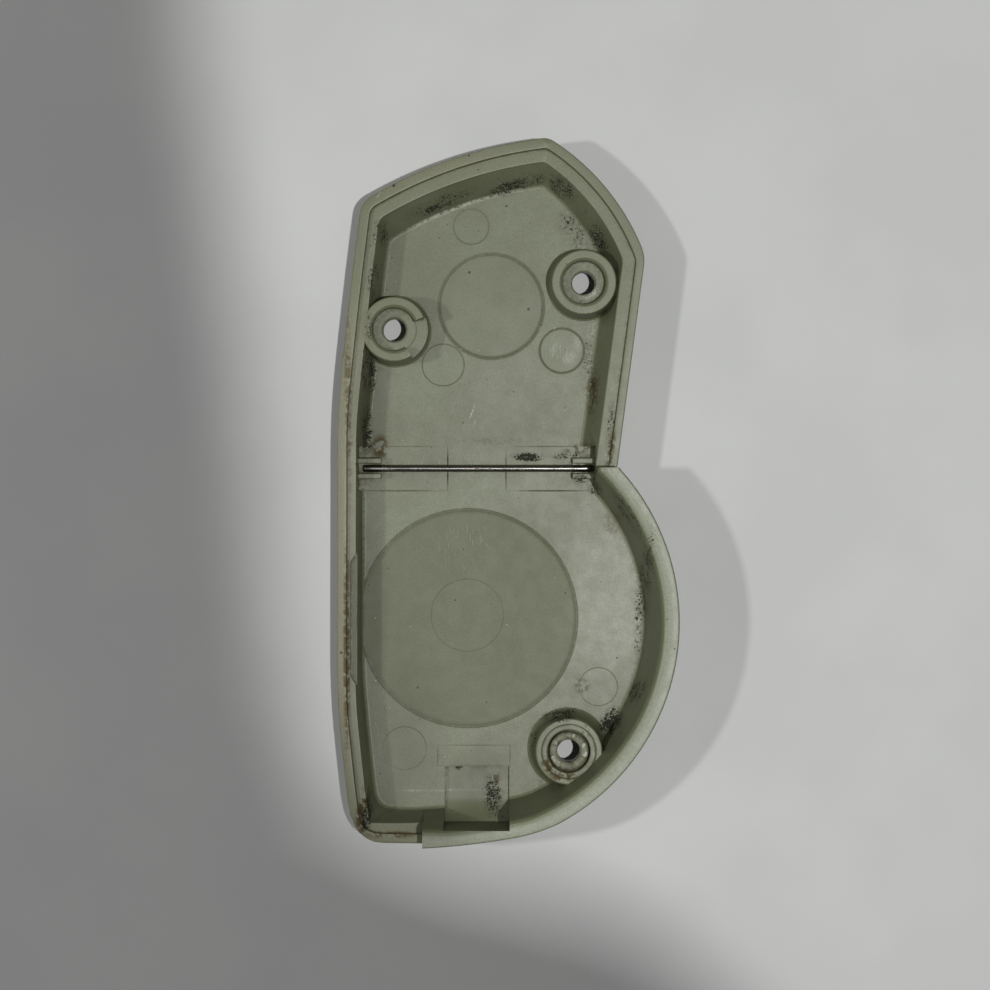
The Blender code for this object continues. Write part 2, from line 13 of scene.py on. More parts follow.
import bmesh
import bpy
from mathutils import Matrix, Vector


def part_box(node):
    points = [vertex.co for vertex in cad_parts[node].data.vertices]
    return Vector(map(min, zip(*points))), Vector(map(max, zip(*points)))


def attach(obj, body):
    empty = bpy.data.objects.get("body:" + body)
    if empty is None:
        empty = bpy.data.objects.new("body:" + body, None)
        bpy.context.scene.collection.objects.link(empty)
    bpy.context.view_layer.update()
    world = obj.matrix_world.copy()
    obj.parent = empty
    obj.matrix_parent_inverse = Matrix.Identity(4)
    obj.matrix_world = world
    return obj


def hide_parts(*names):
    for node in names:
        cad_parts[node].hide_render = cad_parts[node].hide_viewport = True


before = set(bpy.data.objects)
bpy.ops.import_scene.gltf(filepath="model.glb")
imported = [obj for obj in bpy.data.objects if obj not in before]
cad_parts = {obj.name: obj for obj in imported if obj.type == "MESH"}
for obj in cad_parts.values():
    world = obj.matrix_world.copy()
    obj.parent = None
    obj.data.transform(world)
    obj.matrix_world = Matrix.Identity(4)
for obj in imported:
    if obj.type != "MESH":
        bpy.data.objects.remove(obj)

MM = 0.001
LOG = logging.getLogger("cover_scene")

Point = Vector
Ring = List[Vector]
Socket = bpy.types.NodeSocket


class Operation(Enum):
    """How a helper solid is applied to a piece."""

    ADD = "UNION"
    CUT = "DIFFERENCE"


# ---------------------------------------------------------------- outline


@dataclass
class Outline:
    """The cover's outline seen from above, nine bowed sides, in millimetres.

    The sides run anticlockwise from the top left corner: upper left, left, lower left, bottom, bay
    foot, round bay, right, shoulder, top.
    """

    bay_centre: Tuple[float, float] = (-10.8, -25.4)
    bay_radius: float = 44.9
    neck_angle: float = math.radians(42.8)
    bay_foot_angle: float = math.radians(-67.3)
    bay_end: Tuple[float, float] = (-16.6, -69.9)
    left_reach: float = 33.85
    left_top_y: float = 16.0
    left_bottom_y: float = -40.0
    upper_length: float = 66.0
    peak_from_shoulder: float = 19.4
    shoulder_from_neck: float = 5.6
    shoulder_drop: float = 23.7
    corner_drop: float = 12.9
    corner_set_in: float = 4.85
    upper_left_set_in: float = 0.1
    foot_set_in: float = 3.25
    foot_rise: float = 0.2
    left_bow: float = 0.2
    bay_foot_bow: float = 0.5
    shoulder_bow: float = 2.6
    top_bow: float = 2.2
    corner_ease: Tuple[float, ...] = (2.5, 8.0, 8.0, 8.0, 1.0, 4.0, 0.5, 2.0, 1.3)
    edge_steps: Tuple[int, ...] = (12, 14, 8, 4, 10, 84, 8, 22, 26)
    corner_steps: int = 6
    side_samples: int = 60
    side_overrun: float = 14.0
    ease_limit: float = 0.45
    corners: List[Point] = field(default_factory=list)
    bows: Tuple[float, ...] = ()
    middle: Point = field(default_factory=lambda: Vector((0, 0)))

    def __post_init__(self) -> None:
        """Work out the corners, the bows and the middle of the outline's box."""
        centre = Vector(self.bay_centre)
        neck = centre + Vector((math.cos(self.neck_angle), math.sin(self.neck_angle))) * self.bay_radius
        low = Vector((math.cos(self.bay_foot_angle), math.sin(self.bay_foot_angle)))
        bay_foot = centre + low * self.bay_radius
        peak_y = neck.y + self.upper_length
        shoulder = Vector((neck.x + self.shoulder_from_neck, peak_y - self.shoulder_drop))
        self.corners = [
            Vector((-self.left_reach + self.corner_set_in, peak_y - self.corner_drop)),
            Vector((-self.left_reach + self.upper_left_set_in, self.left_top_y)),
            Vector((-self.left_reach, self.left_bottom_y)),
            Vector((-self.left_reach + self.foot_set_in, self.bay_end[1] + self.foot_rise)),
            Vector(self.bay_end), bay_foot, neck, shoulder,
            Vector((shoulder.x - self.peak_from_shoulder, peak_y)),
        ]
        half_turn = (self.neck_angle - self.bay_foot_angle) / 2
        bay_bow = self.bay_radius * (1 - math.cos(half_turn))
        self.bows = (self.left_bow, 0, self.left_bow, 0, self.bay_foot_bow, bay_bow, 0,
                     self.shoulder_bow, self.top_bow)
        rim = self.contour((0.0,) * 9)
        xs, ys = [p.x for p in rim], [p.y for p in rim]
        self.middle = Vector((min(xs) + max(xs), min(ys) + max(ys))) / 2

    @property
    def neck(self) -> Point:
        """The inward corner between the round bay and the right side."""
        return self.corners[6]

    def side(self, index: int, inset: float) -> Ring:
        """Points on one side, moved inwards and run past both of its corners.

        Args:
            index: Number of the side, from 0.
            inset: How far inwards the side is moved.

        Returns:
            Points in plan, one more than side_samples.
        """
        start, end, bow = self.corners[index], self.corners[(index + 1) % 9], self.bows[index]
        chord = end - start
        along = chord.normalized()
        outward = Vector((along.y, -along.x))
        spare = self.side_overrun / chord.length
        shares = [-spare + (1 + 2 * spare) * n / self.side_samples for n in range(self.side_samples + 1)]
        if bow == 0:
            return [start + chord * share - outward * inset for share in shares]
        radius = (chord.length ** 2 / 4 + bow ** 2) / (2 * bow)
        centre = (start + end) / 2 + outward * (bow - radius)
        half = 2 * math.atan(2 * bow / chord.length)
        points = []
        for share in shares:
            angle = (2 * share - 1) * half
            points.append(centre + (outward * math.cos(angle) + along * math.sin(angle)) * (radius - inset))
        return points

    @staticmethod
    def crossing(first: Ring, second: Ring, near: Point) -> Tuple[float, float]:
        """Where two runs of points cross, nearest to a place.

        Args:
            first: One run.
            second: The other run.
            near: The place.

        Returns:
            The crossing as a fractional position along each run.
        """
        best = None
        for i in range(len(first) - 1):
            step_a = first[i + 1] - first[i]
            for j in range(len(second) - 1):
                step_b, gap = second[j + 1] - second[j], second[j] - first[i]
                turn = step_a.cross(step_b)
                if abs(turn) < 1e-12:
                    continue
                share_a, share_b = gap.cross(step_b) / turn, gap.cross(step_a) / turn
                if 0 <= share_a <= 1 and 0 <= share_b <= 1:
                    distance = (first[i] + step_a * share_a - near).length
                    if best is None or distance < best[0]:
                        best = (distance, i + share_a, j + share_b)
        if best is None:
            gaps = ((a - b).length for a in first for b in second)
            _, index = min((gap, index) for index, gap in enumerate(gaps))
            return divmod(index, len(second))
        return best[1], best[2]

    def contour(self, insets: Sequence[float], ease: float = 1.0) -> Ring:
        """The outline moved inwards by a width for each side, with its corners eased.

        Args:
            insets: One width for each of the nine sides.
            ease: Share of the outer corners' easing.

        Returns:
            Points in plan, always the same number of them.
        """
        runs = [self.side(n, insets[n]) for n in range(9)]
        cuts = [self.crossing(runs[n - 1], runs[n], self.corners[n]) for n in range(9)]
        stretches = []
        for n in range(9):
            start, end = cuts[n][1], cuts[(n + 1) % 9][0]
            inner = [runs[n][i] for i in range(int(start) + 1, int(math.ceil(end)))]
            run = [point_at(runs[n], start)] + inner + [point_at(runs[n], end)]
            length = run_lengths(run)[-1]
            room = length * self.ease_limit
            begin = min(self.corner_ease[n] * ease, room)
            stop = length - min(self.corner_ease[(n + 1) % 9] * ease, room)
            stretches.append((spaced(run, self.edge_steps[n], begin, stop), run[0]))
        points: Ring = []
        for n in range(9):
            before, (after, corner) = stretches[n - 1][0][-1], stretches[n]
            for step in range(1, self.corner_steps):
                share = step / self.corner_steps
                points.append(before.lerp(corner, share).lerp(corner.lerp(after[0], share), share))
            points.extend(after)
        return points

    def level(self, insets: Sequence[float], extra: float, height: float) -> Ring:
        """A contour at one height, with an extra width inwards on every side.

        Args:
            insets: One width for each side.
            extra: Width added to each of them.
            height: Height over the resting face.

        Returns:
            Points in space.
        """
        widths = [inset + extra for inset in insets]
        ease = 1 - 0.5 * min(1.0, max(0.0, sum(widths) / len(widths)) / 1.5)
        return [Vector((p.x, p.y, height)) for p in self.contour(widths, ease)]

    def bay_run(self, insets: Sequence[float], extra: float, count: int) -> Ring:
        """The stretch of a contour along the high bay wall, evenly spaced.

        Args:
            insets: One width for each side.
            extra: Width added to each of them.
            count: Number of steps.

        Returns:
            count + 1 points in plan, from the bottom edge up to the neck.
        """
        points = [Vector((p.x, p.y)) for p in self.level(insets, extra, 0)]
        neck_y, end_x = self.neck.y, self.bay_end[0]
        inside = [p.y < neck_y and p.x > end_x for p in points]
        first = next(i for i in range(len(points)) if inside[i] and not inside[i - 1])
        turned = points[first:] + points[:first]
        stretch = [p for p in turned if p.y < neck_y and p.x > end_x]
        before, after = points[first - 1], turned[len(stretch)]
        enter = before.lerp(stretch[0], (end_x - before.x) / (stretch[0].x - before.x))
        leave = stretch[-1].lerp(after, (neck_y - stretch[-1].y) / (after.y - stretch[-1].y))
        run = [enter] + stretch + [leave]
        return spaced(run, count, 0.0, run_lengths(run)[-1])


def run_lengths(run: Ring) -> List[float]:
    """Length from the start of a run to each of its points.

    Args:
        run: The run of points.

    Returns:
        One length for each point.
    """
    lengths = [0.0]
    for first, second in zip(run, run[1:]):
        lengths.append(lengths[-1] + (second - first).length)
    return lengths


def point_at(run: Ring, position: float) -> Point:
    """The point at a fractional position along a run."""
    index = min(int(position), len(run) - 2)
    return run[index].lerp(run[index + 1], position - index)


def spaced(run: Ring, steps: int, begin: float, stop: float) -> Ring:
    """Evenly spaced points between two lengths along a run.

    Args:
        run: The run of points.
        steps: Number of steps.
        begin: Length at the first point.
        stop: Length at the last point.

    Returns:
        steps + 1 points.
    """
    lengths = run_lengths(run)
    points = []
    for step in range(steps + 1):
        wanted = begin + (stop - begin) * step / steps
        index = next((i for i in range(1, len(run) - 1) if lengths[i] >= wanted), len(run) - 1)
        share = (wanted - lengths[index - 1]) / (lengths[index] - lengths[index - 1])
        points.append(run[index - 1].lerp(run[index], share))
    return points


# ---------------------------------------------------------------- modelling


OUTLINE = Outline()


def placed(point: Sequence[float]) -> Vector:
    """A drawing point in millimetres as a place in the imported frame, in metres."""
    return Vector((point[0] - OUTLINE.middle.x, point[1] - OUTLINE.middle.y, point[2])) * MM


def deselect() -> None:
    """Leave nothing selected."""
    if bpy.context.mode != "OBJECT":
        bpy.ops.object.mode_set(mode="OBJECT")
    bpy.ops.object.select_all(action="DESELECT")


def grown(name: str, rings: Sequence[Ring]) -> bpy.types.Object:
    """Extrude a filled circle ring by ring into a closed solid.

    Args:
        name: Name of the new piece.
        rings: Rings of drawing points, each with the same number of points.

    Returns:
        The piece, at the origin, with its place in its mesh.
    """
    deselect()
    bpy.ops.mesh.primitive_circle_add(vertices=len(rings[0]), radius=1.0, fill_type="NGON")
    piece = bpy.context.active_object
    piece.name = piece.data.name = name
    bpy.ops.object.mode_set(mode="EDIT")
    bpy.ops.mesh.select_all(action="SELECT")
    order: Dict[Tuple[float, ...], int] = {}
    for number, ring in enumerate(rings):
        if number:
            bpy.ops.mesh.extrude_region_move()
        mesh = bmesh.from_edit_mesh(piece.data)
        face = next(f for f in mesh.faces if f.select)
        corners = list(face.verts)
        if order:
            corners.sort(key=lambda vertex: order[tuple(vertex.co)])
        order = {}
        for index, (vertex, point) in enumerate(zip(corners, ring)):
            vertex.co = placed(point)
            order[tuple(vertex.co)] = index
        bmesh.update_edit_mesh(piece.data)
    bpy.ops.mesh.select_all(action="SELECT")
    bpy.ops.mesh.normals_make_consistent(inside=False)
    bpy.ops.object.mode_set(mode="OBJECT")
    return piece


def turned(name: str, centre: Sequence[float], profile: Sequence[Tuple[float, float]], sides: int = 72,
           reach: float = math.inf) -> bpy.types.Object:
    """A round solid on an upright axis, extruded up its profile.

    Args:
        name: Name of the new piece.
        centre: Its axis in plan.
        profile: Radius and height of each ring, from the bottom.
        sides: Number of sides.
        reach: Furthest distance from the wheel bay's centre, where the solid is flattened.

    Returns:
        The piece.
    """
    angles = [2 * math.pi * n / sides for n in range(sides)]
    bay = Vector(OUTLINE.bay_centre)
    rings = []
    for radius, height in profile:
        ring = []
        for angle in angles:
            away = Vector(centre) + Vector((math.cos(angle), math.sin(angle))) * radius - bay
            point = bay + away * min(1.0, reach / away.length)
            ring.append(Vector((point.x, point.y, height)))
        rings.append(ring)
    return grown(name, rings)


def prism(name: str, polygon: Sequence[Tuple[float, float]], bottom: float, top: float,
          flare: float = 0.0) -> bpy.types.Object:
    """An upright prism, which may widen towards its top.

    Args:
        name: Name of the new piece.
        polygon: Corners in plan, anticlockwise.
        bottom: Height of its lower face.
        top: Height of its upper face.
        flare: How far the top corners move away from the middle.

    Returns:
        The piece.
    """
    middle = sum((Vector(corner) for corner in polygon), Vector((0, 0))) / len(polygon)
    rings = []
    for height, spread in ((bottom, 0.0), (top, flare)):
        ring = []
        for corner in polygon:
            away = Vector(corner) - middle
            moved = Vector(corner) + Vector((math.copysign(spread, away.x), math.copysign(spread, away.y)))
            ring.append(Vector((moved.x, moved.y, height)))
        rings.append(ring)
    return grown(name, rings)


def box_corners(left: float, right: float, bottom: float, top: float) -> List[Tuple[float, float]]:
    """Corners of a rectangle in plan, anticlockwise."""
    return [(left, bottom), (right, bottom), (right, top), (left, top)]


def bar(name: str, section: Sequence[Tuple[float, float]], start_x: float, end_x: float) -> bpy.types.Object:
    """A straight bar along X.

    Args:
        name: Name of the new piece.
        section: Its section as y and z.
        start_x: Where it starts.
        end_x: Where it ends.

    Returns:
        The piece.
    """
    return grown(name, [[Vector((x, y, z)) for y, z in section] for x in (start_x, end_x)])


def combine(target: bpy.types.Object, operation: Operation, helper: bpy.types.Object) -> None:
    """Apply a helper solid to a piece and throw the helper away.

    Args:
        target: The piece that is changed.
        operation: Add or cut.
        helper: The helper solid.
    """
    deselect()
    bpy.context.view_layer.objects.active = target
    modifier = target.modifiers.new(helper.name, "BOOLEAN")
    modifier.operation = operation.value
    modifier.solver = "EXACT"
    modifier.object = helper
    bpy.ops.object.modifier_apply(modifier=modifier.name)
    mesh = helper.data
    bpy.data.objects.remove(helper)
    bpy.data.meshes.remove(mesh)


def finish_mesh(piece: bpy.types.Object, angle: float, node: str) -> None:
    """Merge what coincides, keep the mesh inside the CAD node's box and shade it smooth.

    Args:
        piece: The piece.
        angle: Edges sharper than this, in degrees, stay crisp.
        node: CAD node that the piece stands for.
    """
    deselect()
    bpy.context.view_layer.objects.active = piece
    piece.select_set(True)
    bpy.ops.object.mode_set(mode="EDIT")
    bpy.ops.mesh.select_all(action="SELECT")
    bpy.ops.mesh.remove_doubles(threshold=0.004 * MM)
    bpy.ops.mesh.normals_make_consistent(inside=False)
    bpy.ops.object.mode_set(mode="OBJECT")
    low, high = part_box(node)
    for vertex in piece.data.vertices:
        vertex.co = Vector([min(max(c, a), b) for c, a, b in zip(vertex.co, low, high)])
    bpy.ops.object.shade_smooth_by_angle(angle=math.radians(angle))
    modifier = piece.modifiers.new("flat_faces", "WEIGHTED_NORMAL")
    modifier.keep_sharp = True
    modifier.weight = 100
    bpy.ops.object.modifier_apply(modifier=modifier.name)


# ---------------------------------------------------------------- materials


def linear(colour: str) -> Tuple[float, float, float, float]:
    """An sRGB hex colour as linear red, green, blue and alpha.

    Args:
        colour: Six hex digits.

    Returns:
        The colour that a shader takes.
    """
    parts = [int(colour[n:n + 2], 16) / 255 for n in (0, 2, 4)]
    bent = [c / 12.92 if c <= 0.04045 else ((c + 0.055) / 1.055) ** 2.4 for c in parts]
    return (*bent, 1.0)


class Kind(Enum):
    """Shader nodes: type, settings, inputs in the order they are given, and output."""

    TIMES = ("Math", {"operation": "MULTIPLY"}, (0, 1), 0)
    PLUS = ("Math", {"operation": "ADD"}, (0, 1), 0)
    MINUS = ("Math", {"operation": "SUBTRACT"}, (0, 1), 0)
    UNSIGNED = ("Math", {"operation": "ABSOLUTE"}, (0,), 0)
    MOST = ("Math", {"operation": "MAXIMUM"}, (0, 1), 0)
    LEAST = ("Math", {"operation": "MINIMUM"}, (0, 1), 0)
    BELOW = ("Math", {"operation": "LESS_THAN"}, (0, 1), 0)
    STEP = ("MapRange", {"interpolation_type": "SMOOTHSTEP"}, (0, 1, 2, 3, 4), 0)
    BLEND = ("Mix", {"data_type": "RGBA"}, (0, 6, 7), 2)
    POINT = ("TexCoord", {}, (), "Object")
    SCALED = ("VectorMath", {"operation": "MULTIPLY_ADD"}, (0, 1, 2), 0)
    MOVED = ("VectorMath", {"operation": "ADD"}, (0, 1), 0)
    LENGTH = ("VectorMath", {"operation": "LENGTH"}, (0,), "Value")
    JOINED = ("CombineXYZ", {}, (0, 1, 2), 0)
    MAPPED = ("Mapping", {"vector_type": "TEXTURE"}, (0, 1, 2, 3), 0)
    UPWARD = ("SeparateXYZ", {}, (0,), 2)
    CHANCES = ("SeparateColor", {}, (0,), 0)
    FACING = ("NewGeometry", {}, (), "True Normal")
    NOISE = ("TexNoise", {}, ("Vector", "Scale", "Detail"), "Fac")
    CELLS = ("TexVoronoi", {}, ("Vector", "Scale"), "Distance")
    OPENNESS = ("AmbientOcclusion", {"samples": 8}, ("Distance",), "AO")
    BUMP = ("Bump", {}, ("Height", "Distance"), 0)


@dataclass(frozen=True)
class Spot:
    """A soft elliptical patch in plan: centre, half lengths, turn in degrees and strength."""

    x: float
    y: float
    rx: float
    ry: float
    turn: float = 0.0
    strength: float = 1.0


@dataclass
class Surface:
    """A material being put together on one node tree, with patterns in drawing millimetres."""

    name: str
    material: bpy.types.Material = field(init=False)
    place: Socket = field(init=False)

    def __post_init__(self) -> None:
        """Make the material and the point in drawing millimetres."""
        self.material = bpy.data.materials.new(self.name)
        self.material.use_nodes = True
        shift = (OUTLINE.middle.x, OUTLINE.middle.y, 0.0)
        self.place = self.add(Kind.SCALED, self.add(Kind.POINT), (1 / MM,) * 3, shift)

    def add(self, kind: Kind, *inputs: Any) -> Socket:
        """Add a node with its settings, values and links.

        Args:
            kind: Which node.
            inputs: A number, a hex colour or a socket for each of its inputs, in the kind's order.

        Returns:
            The output that the kind names.
        """
        name, settings, keys, output = kind.value
        nodes, links = self.material.node_tree.nodes, self.material.node_tree.links
        node = nodes.new("ShaderNode" + name)
        for key, value in settings.items():
            setattr(node, key, value)
        for key, value in zip(keys, inputs):
            if isinstance(value, bpy.types.NodeSocket):
                links.new(value, node.inputs[key])
            else:
                node.inputs[key].default_value = linear(value) if isinstance(value, str) else value
        return node.outputs[output]

    def finish(self, inputs: Dict[str, Any]) -> bpy.types.Material:
        """Feed the material's main shader.

        Args:
            inputs: Name of each input, and the number or the socket that feeds it.

        Returns:
            The finished material.
        """
        shader = self.material.node_tree.nodes["Principled BSDF"]
        for name, value in inputs.items():
            if isinstance(value, bpy.types.NodeSocket):
                self.material.node_tree.links.new(value, shader.inputs[name])
            else:
                shader.inputs[name].default_value = value
        return self.material

    def clouds(self, size: float, detail: float = 2.0, stretch: Tuple[float, ...] = (1.0, 1.0, 1.0),
               offset: float = 0.0) -> Socket:
        """Cloudy pattern with features of a size in millimetres.

        Args:
            size: Size of a feature.
            detail: Number of finer layers.
            stretch: Scale along each axis.
            offset: Shift along Z, so that two patterns differ.

        Returns:
            The pattern, about 0.2 to 0.8.
        """
        vector = self.place
        if offset:
            vector = self.add(Kind.SCALED, vector, stretch, (0.0, 0.0, offset))
        return self.add(Kind.NOISE, vector, 1 / size, detail)

    def away(self, x: float, y: float, scale: Tuple[float, float] = (1.0, 1.0), turn: float = 0.0,
             after: Optional[Socket] = None) -> Socket:
        """Distance in plan from a place, in units of a scale.

        Args:
            x: The place.
            y: The place.
            scale: Unit along the turned X and Y, in millimetres.
            turn: Turn in degrees.
            after: A value that has to be ready first; it changes nothing, and keeps the renderer
                from holding too many half-finished masks at once.

        Returns:
            The distance.
        """
        location: Any = (x, y, 0.0)
        if after is not None:
            location = self.add(Kind.JOINED, x, y, after)
        turned_by = (0.0, 0.0, math.radians(turn))
        return self.add(Kind.LENGTH, self.add(Kind.MAPPED, self.place, location, turned_by, (*scale, 1e6)))

    def either(self, result: Optional[Socket], mask: Socket) -> Socket:
        """The stronger of two masks, or the second where there is no first."""
        return mask if result is None else self.add(Kind.MOST, result, mask)

    def where(self, *masks: Any) -> Socket:
        """Where all of several masks lie, as their product."""
        return reduce(partial(self.add, Kind.TIMES), masks)

    def coat(self, colour: Any, tint: str, *masks: Any) -> Socket:
        """Lay a tint over a colour, where all of the masks lie."""
        return self.add(Kind.BLEND, self.where(*masks), colour, tint)

    def spots(self, spots: Sequence[Spot]) -> Socket:
        """The strongest of several soft patches at each place.

        Args:
            spots: The patches.

        Returns:
            A mask.
        """
        result = None
        for spot in spots:
            length = self.away(spot.x, spot.y, (spot.rx, spot.ry), spot.turn, result)
            result = self.either(result, self.add(Kind.STEP, length, 1.0, 0.25, 0.0, spot.strength))
        return result

    def disc(self, x: float, y: float, radius: float) -> Socket:
        """A round mask with a narrow soft edge."""
        return self.add(Kind.STEP, self.away(x, y), radius + 0.3, radius - 0.3)

    def rings(self, rings: Sequence[Sequence[float]]) -> Socket:
        """Soft round lines in plan.

        Args:
            rings: Centre, radius, half width and strength of each.

        Returns:
            A mask.
        """
        result = None
        for x, y, radius, width, strength in rings:
            off = self.add(Kind.UNSIGNED, self.add(Kind.MINUS, self.away(x, y, after=result), radius))
            result = self.either(result, self.add(Kind.STEP, off, width, 0.0, 0.0, strength))
        return result

    def flecks(self, spacing: float, size: float, share: Any, offset: float = 0.0) -> Socket:
        """Scattered round flecks.

        Args:
            spacing: Distance between flecks if every one were there.
            size: Radius of the largest.
            share: Share of them that is there, value or socket.
            offset: Shift along Z, so that two sets differ.

        Returns:
            A mask.
        """
        cells = self.add(Kind.CELLS, self.add(Kind.MOVED, self.place, (0, 0, offset)), 1 / spacing)
        chance = self.add(Kind.CHANCES, cells.node.outputs["Color"])
        limit = self.add(Kind.TIMES, chance.node.outputs[1], size / spacing)
        near = self.add(Kind.BELOW, cells, limit)
        return self.add(Kind.TIMES, near, self.add(Kind.BELOW, chance, share))


# ABS: injection-moulded against spark-eroded steel, then aged: matt grey-green with a faint broad
# gloss, yellowed and rubbed lighter where hands and the mating half touched it, with dirt and painted
# shade in corners, painted shade beside the left wall and in the pocket, and painted highlights and sheen.
@dataclass(frozen=True)
class AgedAbs:
    """Finish of the moulded cover."""

    fresh: str = "7A7F66"
    stained: str = "6E7259"
    disc: str = "6C6F57"
    rim: str = "72765B"
    band: str = "929782"
    cream: str = "86836A"
    whitish: str = "C9CBBC"
    soot: str = "1A1811"
    silt_and_shade: str = "343015"
    dark_tone: str = "4E5139"
    rust: str = "4A3412"
    roughness: float = 0.4
    shine: float = 0.3
    grain_mm: float = 0.35
    film_mm: float = 4.0
    line_mm: float = 0.9
    wheel_disc: Tuple[float, ...] = (-7.7, -25.3, 22.0)
    upper_disc: Tuple[float, ...] = (-3.0, 38.0, 10.7)
    rim_z: Tuple[float, float] = (10.2, 10.8)
    wall_top_z: Tuple[float, float] = (19.2, 19.8)
    foot_from_z: Tuple[float, float] = (3.02, 3.12)
    foot_to_z: Tuple[float, float] = (3.7, 3.3)
    grime: Tuple[Spot, ...] = (
        Spot(4.6, 7.4, 5.2, 1.4), Spot(12.0, 7.6, 6.0, 1.2, 0, 0.6), Spot(15.4, 3.0, 3.4, 2.2, 0, 0.6),
        Spot(21.0, -46.6, 5.6, 2.9, 62, 1.0), Spot(10.6, -44.9, 6.4, 1.5, 10, 0.9),
        Spot(26.0, -40.0, 5.2, 1.6, 60, 0.75), Spot(5.6, -49.4, 1.6, 4.6, 0, 0.7),
        Spot(2.0, 62.4, 11.0, 2.0, 14, 0.75), Spot(-13.4, 58.4, 11.0, 1.9, 21, 0.75),
        Spot(11.0, 61.6, 5.2, 2.4, -44, 0.8), Spot(13.4, 53.6, 4.4, 7.0, 30, 0.5),
        Spot(18.6, 51.6, 2.2, 5.0, 28, 0.8), Spot(-25.4, 52.0, 2.4, 4.4, -10, 0.8),
        Spot(-26.6, 43.0, 2.0, 7.0, 0, 0.6), Spot(-27.6, 24.0, 2.2, 6.4, 0, 0.85),
        Spot(-28.2, 12.0, 1.8, 10.0, 0, 0.8), Spot(-27.4, 32.8, 1.5, 5.0, 0, 0.7),
        Spot(-2.6, -61.4, 3.0, 6.6, 0, 0.8), Spot(-9.6, -55.8, 1.4, 0.8),
        Spot(27.6, -20.0, 2.0, 22.0, -4, 0.62), Spot(24.0, -4.0, 1.6, 9.0, 32, 0.6),
        Spot(17.6, 1.0, 3.0, 2.2, -40, 0.8), Spot(-28.0, -64.4, 2.0, 6.0, -8, 0.8),
        Spot(17.0, 24.0, 2.4, 14.0, 4, 0.5), Spot(-22.4, 32.9, 4.2, 4.2, 0, 0.4),
        Spot(15.5, 42.3, 4.0, 4.0, 0, 0.32), Spot(20.8, 12.6, 1.4, 9.0, -4, 0.6),
        Spot(-2.0, 10.6, 10.0, 1.2, 0, 0.36),
    )
    stains: Tuple[Spot, ...] = (
        Spot(-25.6, 9.4, 2.6, 3.4, 0, 0.95), Spot(17.4, 20.4, 1.6, 6.4, -6, 0.85),
        Spot(14.6, 9.2, 4.4, 1.8, 10, 0.6), Spot(20.9, 8.6, 0.9, 5.6, -8, 0.9),
        Spot(-31.6, 20.0, 1.1, 30.0, 1, 0.6), Spot(-31.9, -30.0, 1.0, 32.0, 0, 0.85),
        Spot(-18.0, 65.2, 14.0, 0.8, 20, 0.5), Spot(-28.8, -64.0, 1.8, 7.4, -8, 1.0),
        Spot(-23.0, -68.2, 7.0, 1.0, 0, 0.85), Spot(-31.6, 46.0, 1.2, 12.0, -8, 0.5),
        Spot(15.4, -39.0, 2.4, 2.8, 0, 0.4), Spot(-2.0, -59.0, 1.0, 5.0, 0, 0.5),
        Spot(8.9, -54.6, 2.2, 3.4, 40, 1.0), Spot(11.4, -56.6, 3.6, 1.4),
        Spot(16.0, -47.6, 1.6, 2.0, 0, 0.5), Spot(21.6, -6.0, 3.0, 4.0, 0, 0.3),
    )
    # Painted shade: the left wall's shadow on the floor strip beside it, and shade in the pocket, along the
    # bottom wall and on the lower left floor
    painted_shade_spots: Tuple[Spot, ...] = (
        Spot(-28.0, -30.0, 5.6, 46.0, 0, 0.62), Spot(-27.4, 16.0, 4.8, 15.0, 0, 0.6),
        Spot(-5.9, -63.0, 9.0, 6.0, 0, 0.5), Spot(-15.0, -66.0, 15.0, 4.0, 0, 0.5),
        Spot(-23.0, -50.0, 15.0, 24.0, 0, 0.42), Spot(-5.9, -59.5, 8.6, 10.0, 0, 0.62),
    )
    creamed: Tuple[Spot, ...] = (
        Spot(-33.0, -8.0, 6.0, 92.0), Spot(-20.0, -69.0, 18.0, 4.0, 0, 0.8),
        Spot(-14.0, 66.0, 26.0, 4.0, 20, 0.5), Spot(26.0, 30.0, 3.0, 30.0, -6, 0.35),
    )
    # Painted highlights along the inner foot of the top wall and of the left wall
    glints: Tuple[Spot, ...] = (
        Spot(-7.3, 57.6, 18.0, 3.4, 17, 1.0), Spot(-28.6, -20.0, 2.0, 60.0, 0, 0.4),
    )
    # Pale scratches and rubbed patches, and two thin painted highlights at y -60.3 where the floor starts to
    # curve up before the pocket
    pale_marks_and_highlights: Tuple[Spot, ...] = (
        Spot(-6.9, 16.6, 2.6, 0.24, 70, 0.8), Spot(-6.4, 14.4, 0.9, 0.16, 64, 0.6),
        Spot(-10.0, -60.3, 11.0, 0.35, 0, 0.4), Spot(-18.6, -60.3, 3.4, 0.3, 0, 0.5),
        Spot(-25.5, 59.6, 1.4, 0.16, 62, 0.8), Spot(13.0, 27.6, 2.4, 1.6, 30, 0.32),
        Spot(14.4, 30.4, 1.2, 2.4, 10, 0.36), Spot(9.8, 29.4, 1.0, 2.6, -20, 0.24),
        Spot(17.0, 40.3, 2.4, 1.4, 30, 0.7), Spot(17.6, 33.4, 3.0, 1.6, 60, 0.35),
        Spot(24.6, 21.0, 0.4, 3.0, -6, 0.5),
    )
    scuffed: Tuple[Spot, ...] = (
        Spot(-8.5, -11.0, 9.0, 7.0, 0, 0.6), Spot(-16.0, 6.0, 9.0, 3.6, 0, 0.55),
        Spot(9.0, 3.0, 8.0, 2.6, 0, 0.5), Spot(11.3, 29.0, 4.6, 4.6), Spot(12.0, 20.0, 7.0, 8.0, 0, 0.35),
        Spot(22.0, -18.0, 7.0, 16.0, 0, 0.4), Spot(14.0, 38.0, 5.0, 4.0, 0, 0.6),
    )
